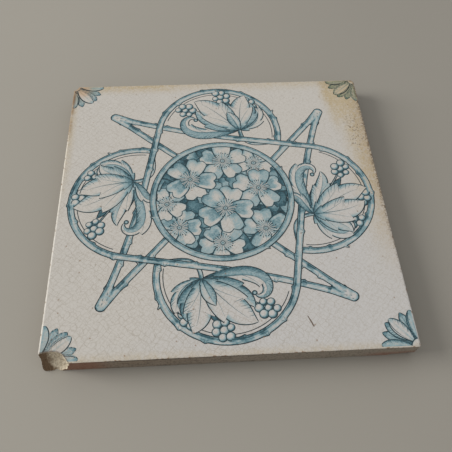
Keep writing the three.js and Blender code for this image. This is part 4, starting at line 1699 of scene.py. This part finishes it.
class ClayPaint(Paint):
    """The fired clay, with the ripples and the crumbs of its broken faces."""

    def __init__(self, name):
        super().__init__(name)
        self.colours = bpy.context.scene.tile_colours
        spread = {0: self.distance_to(*IMPACT) * 1.5, 1: self.x * 0.22, 2: self.z * 0.5}
        spread = self.node("ShaderNodeCombineXYZ", {}, spread)[0]
        self.shell = self.cloud(1, 3, spread, seed=19)
        self.crumbs = self.cloud(0.9, 4, seed=24)

    def side(self):
        """The grimy sides: streaks and grit, a dark seam, painted shade in a dark band under the
        glaze's edge, and two reddish stains.
        """
        colours = self.colours
        black = darker(colours.grime, 0.3)
        x, z = self.x, self.z
        streaks = self.cloud(1, 5, self.stretched(0.07, 0.07, 1.1))
        pale = (streaks * 1.8 - 0.4 + x.step(-40, 50) * 1.1).clamped()
        side = self.mix(pale, rgba(colours.grime), rgba(colours.grime_pale))
        dark = self.cloud(1, 5, self.stretched(0.16, 0.16, 0.9), seed=7).step(0.53, 0.68)
        side = self.over(side, dark * (0.5 - 0.35 * x.step(10, 50)), black)
        grit = self.cloud(0.8, 4, seed=25)
        side = self.over(side, grit.step(0.5, 0.64) * 0.4, colours.grime_pale)
        side = self.over(side, (1 - grit.step(0.36, 0.5)) * 0.5, black)
        seam = 1 - abs(z - SEAM_LINE).step(0.05, 0.3)
        side = self.over(side, seam * 0.5, black)
        # Painted shade: a dark band just under the glaze's edge, darkest on the left, as if the
        # glaze overhung the side
        side = self.over(side, z.step(8.3, 8.9) * (0.9 - 0.7 * x.step(-20, 50)), black)
        nicks = z.step(8.3, 9.5) * self.cloud(1.6, 3, seed=12).step(0.55, 0.66)
        side = self.over(side, nicks * 0.8, black)
        red = (1 - self.distance_to(*RED_RIGHT).step(6, 20)) * (1 - z.step(2, 7))
        middle = 1 - self.distance_to(*RED_MIDDLE).step(4, 14)
        red = red.at_least(middle * (0.5 + streaks))
        return self.over(side, red * 0.6, colours.red_rust)

    def back(self):
        """The dusty back."""
        colours = self.colours
        dust = self.cloud(16, 5, seed=17).step(0.42, 0.62)
        return self.mix(dust * 0.5, rgba(colours.clay), rgba(colours.grime_pale))

    def fresh(self):
        """The broken faces: clean buff clay, with dirt at the corner's edge, dirt and painted shade
        low down near the floor, and rust elsewhere.
        """
        colours = self.colours
        # Low on the breaks, near the floor, the dirt colour is partly painted shade
        low = 1 - self.z.step(0.4, 1.6)
        dirty = ((DIRT_END - self.x) / 2 + self.shell * 2.4 - 0.9 + low * 0.7).clamped()
        fresh = self.mix(dirty * 0.97, rgba(colours.broken), rgba(colours.dirt))
        fresh = self.over(fresh, (1 - self.crumbs.step(0.36, 0.56)) * 0.5, colours.dirt)
        rusty = self.x.step(0, 10).at_least(self.y.step(50, 60))
        return self.over(fresh, rusty * 0.8, colours.rust)


def fired_clay():
    """The clay: grimy sides with painted shade under the glaze, clean buff breaks that are darker
    low down, and a dusty back.
    """
    paint = ClayPaint("Fired clay")
    x, y, z = paint.x, paint.y, paint.z
    under = 1 - z.step(0.9, 1.4)
    inside = (HALF_SIDE - abs(x)).at_most(HALF_SIDE - abs(y)).step(1.0, 3.0)
    whole = paint.mix(under * inside, paint.side(), paint.back())
    broken = paint.attribute("broken")
    base = paint.mix(broken, whole, paint.fresh())
    height = paint.cloud(1.2, 6, seed=23) + paint.cloud(9, 4, seed=3) * 0.8
    height = height + paint.shell * broken * 2.2 + paint.crumbs * broken * 3.0
    relief = paint.bump(height, 0.35, 0.8)
    return paint.finish({"Base Color": base, "Roughness": 0.86, "Normal": relief})


# The stage

# The place and the size of the soft lamp, the camera's place and half the side of the floor, in
# metres, and the camera's turn in degrees
LAMP_PLACE = (-3.7, 0.55, 1.6)
LAMP_SIZE = 2.5
CAMERA_PLACE = (-0.0090, -0.1434, 0.2141)
CAMERA_TURN = (32.07, -0.88, -3.05)
FLOOR_HALF = 2.5

# How bright the right of the floor is beside its left under its painted shade, and where in x that
# shade starts and ends
FLOOR_DARK = 0.8
FLOOR_FADE = (-150, 170)


class TILE_OT_stage(bpy.types.Operator):
    """Sets the pale floor, the soft lamp and the camera"""

    bl_idname = "tile.stage"
    bl_label = "Stage"

    def execute(self, context):
        scene = context.scene
        settings = scene.tile_stage
        shape = bmesh.new()
        bmesh.ops.create_grid(shape, x_segments=8, y_segments=8, size=FLOOR_HALF)
        floor = bpy.data.objects.new("studio_floor", mesh_of(shape, "studio_floor"))
        scene.collection.objects.link(floor)
        paint = Paint("Studio floor")
        # The floor is painted darker towards the right: partly painted shade where the lamp's light
        # falls off, partly an uneven colour of the floor
        fade = paint.x.step(*FLOOR_FADE) * 0.9 + paint.cloud(60, 3) * 0.1
        tint = paint.over(rgba(settings.floor), fade, darker(settings.floor, FLOOR_DARK))
        floor.data.materials.append(paint.finish({"Base Color": tint, "Roughness": 0.9}))

        world = scene.world or bpy.data.worlds.new("Studio")
        scene.world = world
        world.use_nodes = True
        sky = world.node_tree.nodes["Background"]
        sky.inputs["Color"].default_value = (1, 1, 1, 1)
        sky.inputs["Strength"].default_value = settings.ambient

        add_lamp("key_lamp", LAMP_PLACE, LAMP_SIZE, settings.key)

        camera = bpy.data.objects.new("camera", bpy.data.cameras.new("camera"))
        camera.data.lens = settings.lens
        camera.data.clip_start = 0.01
        camera.location = CAMERA_PLACE
        camera.rotation_euler = Euler([math.radians(angle) for angle in CAMERA_TURN])
        scene.collection.objects.link(camera)
        scene.camera = camera
        scene.view_settings.view_transform = "Standard"
        return {"FINISHED"}


def add_lamp(name, place, size, power):
    """Adds a round lamp, which the glaze doesn't mirror: it would whiten the face from one side."""
    lamp = bpy.data.objects.new(name, bpy.data.lights.new(name, "AREA"))
    lamp.visible_glossy = False
    lamp.data.shape = "DISK"
    lamp.data.size = size
    lamp.data.energy = power
    lamp.location = place
    lamp.rotation_euler = (-Vector(place)).to_track_quat("-Z", "Y").to_euler()
    bpy.context.scene.collection.objects.link(lamp)


class TILE_PT_sidebar(bpy.types.Panel):
    """Lists the tile's settings and the steps that make it"""

    bl_idname = "TILE_PT_sidebar"
    bl_label = "Printed wall tile"
    bl_space_type = "VIEW_3D"
    bl_region_type = "UI"
    bl_category = "Tile"

    def draw(self, context):
        layout = self.layout
        for name in SETTINGS:
            group = getattr(context.scene, name)
            box = layout.box()
            for key in group.bl_rna.properties.keys():
                if key not in ("rna_type", "name"):
                    box.prop(group, key)
        for step in STEPS:
            layout.operator(step.bl_idname)


STEPS = (
    TILE_OT_stage,
    TILE_OT_clay_body,
    TILE_OT_glaze,
    TILE_OT_roundel,
    TILE_OT_blossoms,
    TILE_OT_scrolls,
    TILE_OT_sprays,
    TILE_OT_corner_flowers,
)
SETTINGS = {
    "tile_body": TileBodySettings,
    "tile_print": TilePrintSettings,
    "tile_colours": TileColourSettings,
    "tile_stage": TileStageSettings,
}


def register():
    """Registers the classes and adds the settings to the scene."""
    for group in (*SETTINGS.values(), *STEPS, TILE_PT_sidebar):
        bpy.utils.register_class(group)
    for name, group in SETTINGS.items():
        setattr(bpy.types.Scene, name, bpy.props.PointerProperty(type=group))


def unregister():
    """Takes the settings and the classes away again."""
    for name in SETTINGS:
        delattr(bpy.types.Scene, name)
    for group in (TILE_PT_sidebar, *reversed(STEPS), *reversed(SETTINGS.values())):
        bpy.utils.unregister_class(group)


def main():
    """Makes the tile and its stage."""
    register()
    for step in STEPS:
        family, name = step.bl_idname.split(".")
        getattr(getattr(bpy.ops, family), name)()


if __name__ == "__main__":
    main()
